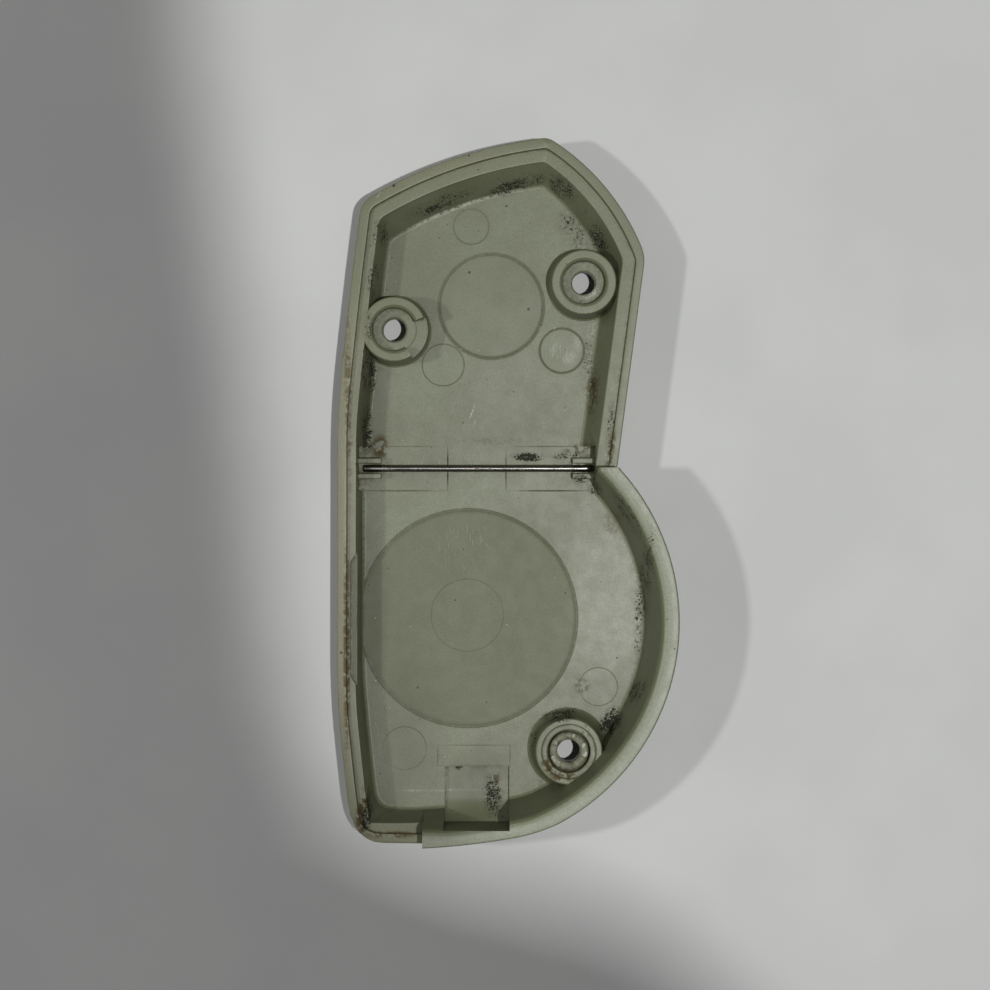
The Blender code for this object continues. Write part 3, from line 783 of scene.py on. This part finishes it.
    # Dark lines along the insert and witness edges: dirt in the seams and painted shade of the small steps
    seam_dirt_and_shade: Tuple[Spot, ...] = (
        Spot(-21.0, 0.56, 10.0, 0.26, 0, 0.5), Spot(-11.87, 5.0, 0.26, 5.4, 0, 0.95),
        Spot(-21.0, 9.56, 10.0, 0.22, 0, 0.35), Spot(-0.05, 4.4, 0.24, 5.4, 0, 0.6),
        Spot(9.0, 0.56, 10.0, 0.26, 0, 0.7), Spot(9.0, 9.56, 10.0, 0.22, 0, 0.4),
        Spot(-6.6, -51.1, 8.6, 0.2, 0, 0.3), Spot(0.75, -53.2, 0.2, 2.6, 0, 0.35),
        Spot(-13.9, -53.2, 0.2, 2.6, 0, 0.3),
    )
    # Dark rings at disc, mark and seat edges: dirt and painted shade of the rounded grooves and steps
    ring_dirt_and_shade: Tuple[Tuple[float, ...], ...] = (
        (-3.0, 38.0, 10.5, 0.75, 0.42), (-3.0, 38.0, 10.8, 0.22, 0.5), (-7.7, -25.3, 21.8, 0.95, 0.34),
        (-7.7, -25.3, 22.2, 0.26, 0.6), (-7.9, -24.7, 7.4, 0.22, 0.26), (-7.1, 54.2, 3.6, 0.4, 0.3),
        (-12.8, 26.1, 4.25, 0.26, 0.5), (11.3, 29.0, 4.5, 0.45, 0.62), (18.7, -39.2, 3.9, 0.2, 0.35),
        (-20.6, -51.7, 4.4, 0.2, 0.25), (12.5, -51.65, 4.2, 0.5, 0.75), (12.5, -51.65, 5.4, 0.25, 0.5),
        (15.54, 42.3, 4.4, 0.35, 0.5), (-22.5, 32.9, 4.4, 0.3, 0.4), (15.54, 42.3, 2.5, 0.3, 0.35),
        (-22.5, 32.9, 2.5, 0.35, 0.5),
    )
    # Painted sheen: pale pools on the flat floor, right of the wheel disc and faintly in the upper bay
    painted_light_pools: Tuple[Spot, ...] = (
        Spot(21.0, -19.0, 13.0, 27.0, -4, 0.2), Spot(0.0, 22.0, 16.0, 10.0, 0, 0.05),
    )

    def dress(self) -> bpy.types.Material:
        """Put the finish together, from the clean plastic to the dirt on top.

        Returns:
            The material.
        """
        surface = Surface("ABS_moulded_aged")
        add, coat, where = surface.add, surface.coat, surface.where
        spots, clouds = surface.spots, surface.clouds
        height = add(Kind.UPWARD, surface.place)
        flat = add(Kind.STEP, add(Kind.UPWARD, add(Kind.FACING)), 0.75, 0.97)
        cloud, mottle = clouds(16.0, 4.0), clouds(2.6, 4.0, offset=9.0)
        grit, fine = clouds(0.8, 4.0, offset=60.0), clouds(0.36, 4.0, offset=31.0)
        colour = coat(self.fresh, self.stained, add(Kind.STEP, cloud, 0.35, 0.68))
        # Painted sheen laid on the flat floor from the pools above
        colour = coat(colour, self.whitish, spots(self.painted_light_pools), flat)
        # Sunk discs, rim and wall top each differ a little from the floor
        low = add(Kind.MOST, surface.disc(*self.wheel_disc), where(surface.disc(*self.upper_disc), 0.4))
        low = where(low, flat)
        colour = coat(colour, self.disc, low, 0.75)
        high = add(Kind.STEP, height, *self.rim_z)
        colour = coat(colour, self.rim, high, 0.75)
        creamed = where(spots(self.creamed), high)
        colour = coat(colour, self.cream, creamed, add(Kind.STEP, mottle, 0.2, 0.6, 0.5, 1.0))
        colour = coat(colour, self.band, add(Kind.STEP, height, *self.wall_top_z), flat)
        # Rubbed and scratched plastic turns pale, with some painted highlights among the pale lines, and a
        # painted highlight lines the inner foot of the rim where the fillet catches the light
        streaks = add(Kind.STEP, clouds(0.7, 3.0, (2.2, 0.35, 1.0), 4.0), 0.56, 0.72)
        colour = coat(colour, self.whitish, spots(self.scuffed), streaks, 0.35)
        # Pale scratches and patches, with the painted highlights before the pocket
        colour = coat(colour, self.whitish, spots(self.pale_marks_and_highlights), add(Kind.STEP, fine, 0.4, 0.58))
        foot = where(add(Kind.STEP, height, *self.foot_from_z), add(Kind.STEP, height, *self.foot_to_z))
        colour = coat(colour, self.whitish, foot, spots(self.glints), add(Kind.STEP, grit, 0.36, 0.55), 0.75)
        # Painted shade: the left wall's shadow beside it, and shade in the pocket, along the bottom wall and
        # on the lower left floor
        colour = coat(colour, self.dark_tone, spots(self.painted_shade_spots))
        colour = coat(colour, self.dark_tone, add(Kind.STEP, fine, 0.35, 0.7, 0.0, 0.26))
        # Occlusion darkens: a wide soft film by walls and in corners, part grime and part painted shade, and
        # a narrow brown line of grime in creases
        wide, narrow = add(Kind.OPENNESS, self.film_mm * MM), add(Kind.OPENNESS, self.line_mm * MM)
        corner = add(Kind.STEP, wide, 0.85, 0.35)
        grime_and_shade_film = where(corner, add(Kind.STEP, grit, 0.3, 0.66))
        line = where(add(Kind.STEP, narrow, 0.8, 0.4), add(Kind.STEP, mottle, 0.42, 0.6), 0.7)
        stain = where(spots(self.stains), add(Kind.STEP, add(Kind.PLUS, mottle, grit), 0.84, 1.1))
        brown = add(Kind.MOST, line, stain)
        colour = coat(colour, self.silt_and_shade, grime_and_shade_film, 0.26)
        colour = coat(colour, self.rust, brown, 0.85)
        # Dirt and painted shade along seams and round edges
        seam_dirt_and_shade = where(add(Kind.MOST, surface.rings(self.ring_dirt_and_shade), spots(self.seam_dirt_and_shade)), flat)
        colour = coat(colour, self.silt_and_shade, seam_dirt_and_shade, add(Kind.STEP, grit, 0.3, 0.55, 0.45, 1.0))
        # Black dirt: a crust broken by fine grain, a thinner shade round it, and loose specks
        patchy = add(Kind.STEP, clouds(3.4, 3.0, offset=80.0), 0.32, 0.6, 0.6, 1.3)
        dirty = where(spots(self.grime), patchy)
        crust = add(Kind.STEP, add(Kind.PLUS, where(dirty, 0.32), fine), 0.74, 0.81)
        shade = where(dirty, add(Kind.STEP, grit, 0.35, 0.6), 0.42)
        soot = add(Kind.MOST, where(crust, add(Kind.LEAST, where(dirty, 1.6), 1.0)), shade)
        colour = coat(colour, self.soot, soot, 0.92)
        share = add(Kind.PLUS, add(Kind.PLUS, where(dirty, 0.45), where(corner, 0.2)), 0.03)
        specks = add(Kind.MOST, surface.flecks(1.5, 0.32, share), surface.flecks(0.8, 0.19, share, 17.0))
        colour = coat(colour, self.soot, specks, 0.88)
        colour = coat(colour, self.whitish, surface.flecks(1.4, 0.13, 0.1, 41.0), 0.6)
        worn = add(Kind.MOST, add(Kind.MOST, soot, where(grime_and_shade_film, 0.5)),
                   add(Kind.MOST, where(low, 0.3), add(Kind.MOST, brown, seam_dirt_and_shade)))
        rough = add(Kind.PLUS, add(Kind.STEP, worn, 0.0, 1.0, self.roughness, 0.85),
                    add(Kind.STEP, mottle, 0.3, 0.7, -0.02, 0.03))
        wave = add(Kind.PLUS, where(clouds(self.grain_mm, 2.0, offset=50.0), 0.5), where(cloud, 2.0))
        return surface.finish({"Base Color": colour, "Roughness": rough, "IOR": 1.54,
                               "Normal": add(Kind.BUMP, wave, 0.03 * MM), "Specular IOR Level": self.shine})


# Snapped ABS: the same plastic where it broke: pale stress-whitened lip, dirt rubbed into the rest.
@dataclass(frozen=True)
class BrokenAbs:
    """Finish of the snapped screw post."""

    body: str = "7E7F69"
    whitish: str = "D9DBCB"
    soot: str = "241C10"
    roughness: float = 0.55
    edge_z: Tuple[float, float] = (10.15, 10.4)

    def dress(self) -> bpy.types.Material:
        """Put the finish together.

        Returns:
            The material.
        """
        surface = Surface("ABS_snapped_edge")
        add = surface.add
        height = add(Kind.UPWARD, surface.place)
        mottle, fine = surface.clouds(1.3, 4.0), surface.clouds(0.35, 2.0, offset=7.0)
        edge, broken = add(Kind.STEP, height, *self.edge_z), add(Kind.STEP, mottle, 0.46, 0.6)
        colour = surface.coat(self.body, self.soot, add(Kind.STEP, mottle, 0.4, 0.75, 0.0, 0.6))
        colour = surface.coat(colour, self.whitish, edge, broken, 0.6)
        return surface.finish({"Base Color": colour, "Roughness": self.roughness, "IOR": 1.54,
                               "Normal": add(Kind.BUMP, fine, 0.12 * MM)})


# Drawn steel wire: bright along its top, with fine lengthwise drawing lines and dull brown spots.
@dataclass(frozen=True)
class DrawnSteel:
    """Finish of the pivot rod."""

    bright: str = "807E78"
    dark_tone: str = "4A4238"
    roughness: float = 0.2
    line_mm: float = 0.12

    def dress(self) -> bpy.types.Material:
        """Put the finish together.

        Returns:
            The material.
        """
        surface = Surface("steel_wire_drawn")
        add = surface.add
        spots, lines = surface.clouds(1.6, 4.0), surface.clouds(self.line_mm, 2.0, (0.03, 1.0, 1.0), 3.0)
        tarnish = add(Kind.STEP, spots, 0.5, 0.72)
        colour = surface.coat(self.bright, self.dark_tone, tarnish, 0.7)
        rough = add(Kind.STEP, tarnish, 0.0, 1.0, self.roughness, 0.55)
        rough = add(Kind.PLUS, rough, add(Kind.STEP, lines, 0.3, 0.7, -0.04, 0.08))
        return surface.finish({"Base Color": colour, "Roughness": rough, "Metallic": 1.0,
                               "Normal": add(Kind.BUMP, lines, 0.008 * MM)})


# Uncoated card: plain off-white, quite matt, with the faintest unevenness.
@dataclass(frozen=True)
class PlainCard:
    """Finish of the floor."""

    white: str = "D2D3D0"
    grey: str = "CDCECC"

    def dress(self) -> bpy.types.Material:
        """Put the finish together.

        Returns:
            The material.
        """
        surface = Surface("card_uncoated")
        uneven = surface.add(Kind.STEP, surface.clouds(40.0, 3.0), 0.35, 0.65)
        colour = surface.coat(self.white, self.grey, uneven)
        return surface.finish({"Base Color": colour, "Roughness": 0.75})


# ---------------------------------------------------------------- the cover


@dataclass
class CoverShell:
    """The moulded half: stepped rim, high bay wall, bosses, cradles, pocket and shallow marks."""

    floor_z: float = 3.0
    ledge_z: float = 11.0
    lip_z: float = 12.2
    wall_z: float = 20.0
    shoulder_z: float = 8.0
    shoulder_steps: int = 10
    clear: float = 5.0
    hidden: float = 0.03
    lip: Tuple[float, ...] = (2.0, 1.9, 1.8, 1.9, 1.9, 1.9, 1.7, 2.0, 2.1)
    ledge: Tuple[float, ...] = (4.0, 3.75, 3.7, 3.9, 4.2, 4.4, 4.4, 4.5, 4.7)
    wall_top: Tuple[float, ...] = (4.0, 3.75, 3.7, 3.9, 3.5, 3.75, 4.4, 4.5, 4.7)
    foot: Tuple[float, ...] = (5.7, 4.6, 4.9, 5.7, 5.8, 6.0, 7.0, 7.4, 8.2)
    shoulder: Tuple[float, ...] = (6.0, 5.0, 6.0, 9.5, 9.5, 9.5, 9.0, 10.0, 10.0)
    bay_steps: int = 150
    boss_r: float = 6.5
    boss_foot_r: float = 7.0
    boss_top_z: float = 11.1
    lower_boss_r: float = 6.7
    seat_r: float = 4.3
    seat_z: float = 8.0
    hole_r: float = 2.3
    recess_r: float = 4.4
    recess_z: float = 4.5
    upper_boss: Tuple[float, float] = (15.5445, 42.3069)
    left_boss: Tuple[float, float] = (-22.5, 32.9069)
    lower_boss: Tuple[float, float] = (12.5038, -51.6477)
    rod_y: float = 5.0569
    insert_left: float = -29.8696
    insert_right: float = 17.9445
    insert_length: float = 18.0
    insert_half: float = 4.5
    insert_depth: float = 0.1
    cradle_half: float = 2.1
    slot_half: float = 1.0
    slot_rise: float = 0.9
    ear_z: float = 6.1
    ear_soft: float = 0.18
    gap_angles: Tuple[float, float] = (-57.0, 22.0)
    gap_steps: int = 12
    relief_top: float = -13.3
    relief_length: float = 23.6
    relief_from_side: float = 2.6
    relief_depth: float = 1.6
    relief_ease: Tuple[Tuple[float, float], ...] = (
        (0.0, 0.9), (0.15, 0.2), (0.55, -0.5), (1.1, -1.2), (5.0, -5.0),
    )
    pocket: Tuple[float, float] = (-12.5, 0.6)
    pocket_wall: float = 3.5
    pocket_back: float = 14.5
    pocket_sink: float = 1.3
    pocket_ease: Tuple[Tuple[float, float], ...] = (
        (7.0, 0.0), (4.6, 0.2), (3.0, 0.5), (1.2, 1.3), (0.0, 2.3),
    )
    witness: Tuple[float, float, float, float] = (-13.9, 0.75, -55.2, -51.1)
    marks: Tuple[Tuple[float, float, float, float], ...] = (
        (-3.0, 38.0, 10.8, 0.2), (-7.7, -25.3, 22.2, 0.2), (-7.9, -24.7, 7.4, 0.27),
        (-7.1, 54.2, 3.7, 0.08), (-12.8, 26.1, 4.3, 0.1), (11.3, 29.0, 4.6, 0.15),
        (18.7, -39.2, 3.9, 0.07), (-20.6, -51.7, 4.4, 0.07),
    )

    def tray(self) -> bpy.types.Object:
        """The whole cover with the stepped rim all round.

        Returns:
            The piece.
        """
        flush = tuple(self.hidden if n in (4, 5) else 0.0 for n in range(9))
        rings = []
        for step in range(self.shoulder_steps + 1):
            angle = math.pi / 2 * step / self.shoulder_steps
            insets = [max(inset * (1 - math.sin(angle)), edge) for inset, edge in zip(self.shoulder, flush)]
            rings.append(OUTLINE.level(insets, 0.0, self.shoulder_z * (1 - math.cos(angle))))
        for extra, drop in ((0.0, 0.4), (0.04, 0.2), (0.14, 0.06), (0.34, 0.0)):
            rings.append(OUTLINE.level(flush, extra, self.lip_z - drop))
        for extra, drop in ((-0.28, 0.0), (-0.08, 0.05), (0.0, 0.2), (0.04, 1.06)):
            rings.append(OUTLINE.level(self.lip, extra, self.lip_z - drop))
        rings.append(OUTLINE.level(self.lip, 0.14, self.ledge_z))
        for extra, drop in ((-0.34, 0.0), (-0.12, 0.05), (0.0, 0.22), (0.05, 0.6)):
            rings.append(OUTLINE.level(self.ledge, extra, self.ledge_z - drop))
        for extra, rise in ((-0.16, 1.1), (0.0, 0.45), (0.3, 0.14), (0.8, 0.0)):
            rings.append(OUTLINE.level(self.foot, extra, self.floor_z + rise))
        return grown("cover_shell", rings)

    def bay_wall(self) -> bpy.types.Object:
        """The higher wall round the wheel bay, with a rounded inner shoulder.

        Returns:
            The piece.
        """
        none = (0.0,) * 9
        top = self.wall_z
        profile = [(none, 1.0, 8.0), (none, 0.0, 8.5), (none, 0.0, top - 0.5), (none, 0.07, top - 0.24),
                   (none, 0.22, top - 0.07), (none, 0.48, top), (none, 0.95, top - 0.05),
                   (none, 1.25, top), (none, 1.7, top - 0.08), (none, 2.1, top - 0.08)]
        profile += [(self.wall_top, extra, top - drop) for extra, drop in
                    ((-1.2, 0.16), (-0.75, 0.36), (-0.4, 0.68), (-0.14, 1.15), (0.0, 1.8))]
        profile += [(self.foot, 0.0, self.floor_z + 0.4), (self.foot, 0.2, 1.8), (none, 4.0, 3.6)]
        runs = [OUTLINE.bay_run(insets, extra, self.bay_steps) for insets, extra, _ in profile]
        rings = []
        for station in range(self.bay_steps + 1):
            rings.append([Vector((run[station].x, run[station].y, height))
                          for run, (_, _, height) in zip(runs, profile)])
        return grown("bay_wall", rings)

    def boss(self, name: str, centre: Tuple[float, float], lower: bool) -> bpy.types.Object:
        """One round boss without its bore.

        Args:
            name: Name of the helper.
            centre: Its axis in plan.
            lower: True for the lower boss, which is stouter and flared at its foot.

        Returns:
            The helper solid.
        """
        top, foot = self.boss_top_z, self.floor_z - 0.5
        edge = self.lower_boss_r if lower else self.boss_r
        if lower:
            profile = [(8.3, foot), (8.2, self.floor_z + 0.15), (7.75, self.floor_z + 0.6),
                       (7.6, self.floor_z + 1.2), (6.85, self.floor_z + 3.0)]
        else:
            profile = [(self.boss_foot_r + 0.35, foot), (self.boss_foot_r + 0.3, self.floor_z + 0.1),
                       (self.boss_foot_r, self.floor_z + 0.5)]
        profile += [(edge + 0.04, top - 0.6), (edge - 0.02, top - 0.35), (edge - 0.14, top - 0.12),
                    (edge - 0.36, top)]
        return turned(name, centre, profile, 96, OUTLINE.bay_radius - 4.3 if lower else math.inf)

    def bore(self, name: str, centre: Tuple[float, float], lower: bool) -> bpy.types.Object:
        """Cutter for one boss: head recess, screw hole, post seat and mouth.

        Args:
            name: Name of the helper.
            centre: Its axis in plan.
            lower: True for the lower boss, whose mouth is stepped.

        Returns:
            The helper solid.
        """
        top, hole, seat = self.boss_top_z, self.hole_r, self.seat_r
        profile = [(self.recess_r, -self.clear), (self.recess_r, self.recess_z), (hole, self.recess_z),
                   (hole, self.seat_z - 0.25), (hole + 0.2, self.seat_z), (seat, self.seat_z)]
        if lower:
            step = top - 0.9
            profile += [(seat, step - 0.12), (seat + 0.12, step), (5.3, step),
                        (5.4, step + 0.1), (5.42, top - 0.2), (5.62, top)]
        else:
            profile += [(seat, top - 0.75), (seat + 0.12, top - 0.45), (seat + 0.5, top - 0.1),
                        (seat + 0.75, top)]
        profile.append((profile[-1][0] + 0.01, top + self.clear))
        return turned(name, centre, profile, 96)

    def collar_gap(self) -> bpy.types.Object:
        """Cutter that opens the left boss's collar on its right side.

        Returns:
            The helper solid.
        """
        centre, (start, end) = Vector(self.left_boss), self.gap_angles
        angles = [math.radians(start + (end - start) * n / self.gap_steps) for n in range(self.gap_steps + 1)]
        low = [centre.copy()] + [centre + Vector((math.cos(a), math.sin(a))) * 9 for a in angles]
        rings = []
        for height in (self.seat_z - 0.05, self.ledge_z + self.clear):
            rings.append([Vector((p.x, p.y, height)) for p in low])
        return grown("collar_gap", rings)

    def cradle(self, name: str, start: float, end: float) -> bpy.types.Object:
        """One U-shaped rod cradle with rounded ear tops.

        Args:
            name: Name of the helper.
            start: Its left end.
            end: Its right end.

        Returns:
            The helper solid.
        """
        y, top, soft, outer, inner = self.rod_y, self.ear_z, self.ear_soft, self.cradle_half, self.slot_half
        foot, seat = self.floor_z - 1.2, self.floor_z + self.slot_rise
        right = [(y + outer, top - soft), (y + outer - soft, top),
                 (y + inner + soft, top), (y + inner, top - soft)]
        section = [(y - outer, foot), (y + outer, foot)] + right + [(y + inner, seat), (y - inner, seat)]
        section += [(2 * y - a, b) for a, b in reversed(right)]
        return bar(name, section, start, end)

    def marks_cut(self, x: float, y: float, radius: float, depth: float) -> bpy.types.Object:
        """Cutter for one shallow round mark with a slanted edge.

        Args:
            x: Its centre.
            y: Its centre.
            radius: Its radius.
            depth: Its depth.

        Returns:
            The helper solid.
        """
        slope, floor = 0.85 if radius > 10 else 0.16, self.floor_z
        profile = [(radius - slope, floor - depth), (radius - 0.4 * slope, floor - 0.7 * depth),
                   (radius + 0.06, floor + 0.02), (radius + 0.1, floor + 0.2)]
        return turned("mark", (x, y), profile, 128)

    def build(self) -> bpy.types.Object:
        """Model the cover.

        Returns:
            The finished piece.
        """
        cover = self.tray()
        combine(cover, Operation.ADD, self.bay_wall())
        bottom, outer = self.relief_top - self.relief_length, -OUTLINE.left_reach + self.relief_from_side
        relief = [(outer + x, bottom + y) for x, y in self.relief_ease]
        relief += [(outer + x, self.relief_top - y) for x, y in reversed(self.relief_ease)]
        depth = self.ledge_z - self.relief_depth
        combine(cover, Operation.CUT, prism("relief", relief, depth, self.lip_z + self.clear))
        low, high = self.rod_y - self.insert_half, self.rod_y + self.insert_half
        for start in (self.insert_left, self.insert_right - self.insert_length):
            corners = box_corners(start, start + self.insert_length, low, high)
            cutter = prism("insert", corners, self.floor_z - self.insert_depth, self.wall_z + self.clear)
            combine(cover, Operation.CUT, cutter)
        bosses = (("upper", self.upper_boss, False), ("left", self.left_boss, False),
                  ("lower", self.lower_boss, True))
        for name, centre, lower in bosses:
            combine(cover, Operation.ADD, self.boss("boss_" + name, centre, lower))
            combine(cover, Operation.CUT, self.bore("bore_" + name, centre, lower))
        combine(cover, Operation.CUT, self.collar_gap())
        left, right = self.insert_left, self.insert_right
        for name, start, end in (("left", left - 0.6, left + 4.5), ("right", right - 4.5, right + 0.6)):
            combine(cover, Operation.ADD, self.cradle("cradle_" + name, start, end))
        edge, floor, above = OUTLINE.bay_end[1], self.floor_z - self.pocket_sink, self.wall_z + self.clear
        end, start = edge + self.pocket_wall, edge + self.pocket_back
        section = [(start, floor)] + [(end + y, floor + z) for y, z in self.pocket_ease]
        combine(cover, Operation.CUT, bar("pocket", section + [(end, above), (start, above)], *self.pocket))
        low, high = self.floor_z - 0.06, self.floor_z + 0.02
        combine(cover, Operation.CUT, prism("witness", box_corners(*self.witness), low, high, 0.08))
        for mark in self.marks:
            combine(cover, Operation.CUT, self.marks_cut(*mark))
        finish_mesh(cover, 32, "cover_half")
        return cover


@dataclass
class PivotRod:
    """The loose steel rod in its cradles."""

    left: float = -28.9696
    right: float = 17.0445
    y: float = 5.0569
    z: float = 4.7
    radius: float = 0.7
    sides: int = 40

    def build(self) -> bpy.types.Object:
        """Model the rod, with rounded ends and a few stations along it.

        Returns:
            The finished piece.
        """
        stations = [(self.left + x, r) for x, r in ((0.0, 0.42), (0.05, 0.56), (0.16, 0.67), (0.3, 0.7))]
        steps = 24
        for n in range(1, steps):
            stations.append((self.left + (self.right - self.left) * n / steps, self.radius))
        stations += [(self.right + self.left - x, r) for x, r in reversed(stations[:4])]
        rings = []
        for x, reach in stations:
            rings.append([Vector((x, self.y + reach * math.cos(2 * math.pi * n / self.sides),
                                  self.z + reach * math.sin(2 * math.pi * n / self.sides)))
                          for n in range(self.sides)])
        rod = grown("rod_wire", rings)
        finish_mesh(rod, 40, "pivot_rod")
        return rod


@dataclass
class PostStub:
    """The snapped end of the mating half's screw post, with a chipped upper edge."""

    centre: Tuple[float, float] = (12.5038, -51.6477)
    outer: float = 3.9
    inner: float = 2.3
    low: float = 8.15
    high: float = 10.45
    sides: int = 96
    seed: int = 5

    def build(self) -> bpy.types.Object:
        """Model the stub as a closed tube, extruded from a circle and bridged to itself.

        Returns:
            The finished piece.
        """
        chance = random.Random(self.seed)
        waves = [(n, chance.uniform(0, 6.28), chance.uniform(0.4, 1.0)) for n in (2, 3, 5, 9, 14, 23)]

        def chip(angle: float) -> float:
            """Depth of the chips at an angle, 0 to 1."""
            total = sum(size * math.sin(n * angle + phase) / n ** 0.4 for n, phase, size in waves)
            return min(1.0, max(0.0, 0.35 + 0.4 * total))

        profile = [(self.inner, self.low, 0.0, 0.0), (self.outer, self.low, 0.0, 0.0),
                   (self.outer, self.high - 0.9, -0.04, 0.3), (self.outer - 0.08, self.high - 0.2, -0.3, 0.8),
                   (self.outer - 0.4, self.high, -0.35, 0.75), (self.inner + 0.6, self.high - 0.1, 0.0, 0.55),
                   (self.inner + 0.15, self.high - 0.35, 0.12, 0.4), (self.inner, self.high - 0.7, 0.0, 0.15)]
        deselect()
        bpy.ops.mesh.primitive_circle_add(vertices=self.sides, radius=1.0, fill_type="NOTHING")
        stub = bpy.context.active_object
        stub.name = stub.data.name = "stub_ring"
        bpy.ops.object.mode_set(mode="EDIT")
        bpy.ops.mesh.select_all(action="SELECT")
        for number, (radius, height, push, drop) in enumerate(profile):
            if number:
                bpy.ops.mesh.extrude_edges_move()
            mesh = bmesh.from_edit_mesh(stub.data)
            mesh.verts.index_update()
            for vertex in (v for v in mesh.verts if v.select):
                angle = 2 * math.pi * (vertex.index % self.sides) / self.sides
                depth = chip(angle)
                reach = radius + push * depth
                vertex.co = placed((self.centre[0] + reach * math.cos(angle),
                                    self.centre[1] + reach * math.sin(angle), height - drop * depth))
            bmesh.update_edit_mesh(stub.data)
        bpy.ops.mesh.select_all(action="DESELECT")
        mesh = bmesh.from_edit_mesh(stub.data)
        for edge in mesh.edges:
            edge.select_set(len(edge.link_faces) == 1)
        bmesh.update_edit_mesh(stub.data)
        bpy.ops.mesh.bridge_edge_loops()
        bpy.ops.object.mode_set(mode="OBJECT")
        finish_mesh(stub, 55, "screw_post_stub")
        return stub


# ---------------------------------------------------------------- stage


@dataclass(frozen=True)
class Lamp:
    """A square lamp: its aim, angles in degrees, distance and edge in metres, and power in watts.

    The tilt is from straight above, and the turn is in plan, from +X.
    """

    aim: Tuple[float, float, float]
    tilt: float
    turn: float
    distance: float
    size: float
    power: float

    def away(self) -> Vector:
        """The direction from its aim to the lamp."""
        tilt, turn = math.radians(self.tilt), math.radians(self.turn)
        return Vector((math.sin(tilt) * math.cos(turn), math.sin(tilt) * math.sin(turn), math.cos(tilt)))

    def hang(self, name: str) -> None:
        """Hang the lamp in the scene.

        Args:
            name: Name of the lamp.
        """
        data = bpy.data.lights.new(name, "AREA")
        data.size, data.energy = self.size, self.power
        lamp = bpy.data.objects.new(name, data)
        lamp.location = placed(self.aim) + self.away() * self.distance
        lamp.rotation_euler = self.away().to_track_quat("Z", "Y").to_euler()
        bpy.context.scene.collection.objects.link(lamp)


@dataclass
class Studio:
    """Card floor, small key from above right, weaker lamp from the left and a straight-down camera."""

    eye: Tuple[float, float, float] = (-2.28, -0.3, 541.0)
    lens_mm: float = 96.36
    card_m: float = 3.0
    key: Lamp = Lamp((0, 0, 0), 8.5, -20.0, 0.95, 0.016, 4.75)
    side: Lamp = Lamp((0, 0, 10), 36.6, 180.0, 1.0, 0.05, 2.45)
    fill: Lamp = Lamp((0, 0, 10), 30.0, 60.0, 1.2, 0.9, 0.4)
    flag_z: float = 570.0
    shade: Tuple[Tuple[float, float], ...] = (
        (-68, 130), (-58, 60), (-51, 10), (-45, -40), (-36, -66), (-14, -77), (28, -88), (58, -116),
        (80, -160), (-300, -160), (-300, 130),
    )
    room: Tuple[float, float, float, float] = (0.95, 0.98, 1.0, 1.0)
    room_strength: float = 0.085

    def flag(self) -> None:
        """Hang a dark card beside the key, over the camera, that shades the floor's lower left."""
        key = self.key.away() * (self.key.distance / MM)
        share = self.flag_z / key.z
        ring = [Vector((x, y, 0)).lerp(key, share) for x, y in self.shade]
        card = grown("flag_card", [ring, [point + Vector((0, 0, 1)) for point in ring]])
        card.data.materials.append(PlainCard("303030", "2A2A2A").dress())

    def build(self) -> None:
        """Set up the floor, the lights, the world and the camera."""
        deselect()
        bpy.ops.mesh.primitive_plane_add(size=self.card_m, location=(0, 0, -0.02 * MM))
        card = bpy.context.active_object
        card.name = "card_floor"
        card.data.materials.append(PlainCard().dress())
        self.key.hang("key")
        self.side.hang("side")
        self.fill.hang("fill")
        self.flag()
        world = bpy.data.worlds.new("room")
        world.use_nodes = True
        background = world.node_tree.nodes["Background"]
        background.inputs[0].default_value = self.room
        background.inputs[1].default_value = self.room_strength
        bpy.context.scene.world = world
        data = bpy.data.cameras.new("camera")
        data.lens, data.sensor_width, data.clip_start = self.lens_mm, 36.0, 0.01
        camera = bpy.data.objects.new("camera", data)
        camera.location = placed(self.eye)
        bpy.context.scene.collection.objects.link(camera)
        bpy.context.scene.camera = camera
        bpy.context.scene.view_settings.view_transform = "Standard"


def main() -> None:
    """Build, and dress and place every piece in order."""
    logging.basicConfig(level=logging.INFO, format="%(name)s: %(message)s")
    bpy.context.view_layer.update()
    pieces = (
        (CoverShell(), AgedAbs(), "cover", "cover_half", "aged_abs"),
        (PivotRod(), DrawnSteel(), "rod", "pivot_rod", "drawn_steel"),
        (PostStub(), BrokenAbs(), "cover", "screw_post_stub", "broken_abs"),
    )
    for maker, finish, body, node, slot in pieces:
        piece = maker.build()
        piece.data.materials.clear()
        piece.data.materials.append(finish.dress())
        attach(piece, body)
        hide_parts(node)
        LOG.info("%s: %d faces on %s", piece.name, len(piece.data.polygons), body)
    Studio().build()


if __name__ == "__main__":
    main()
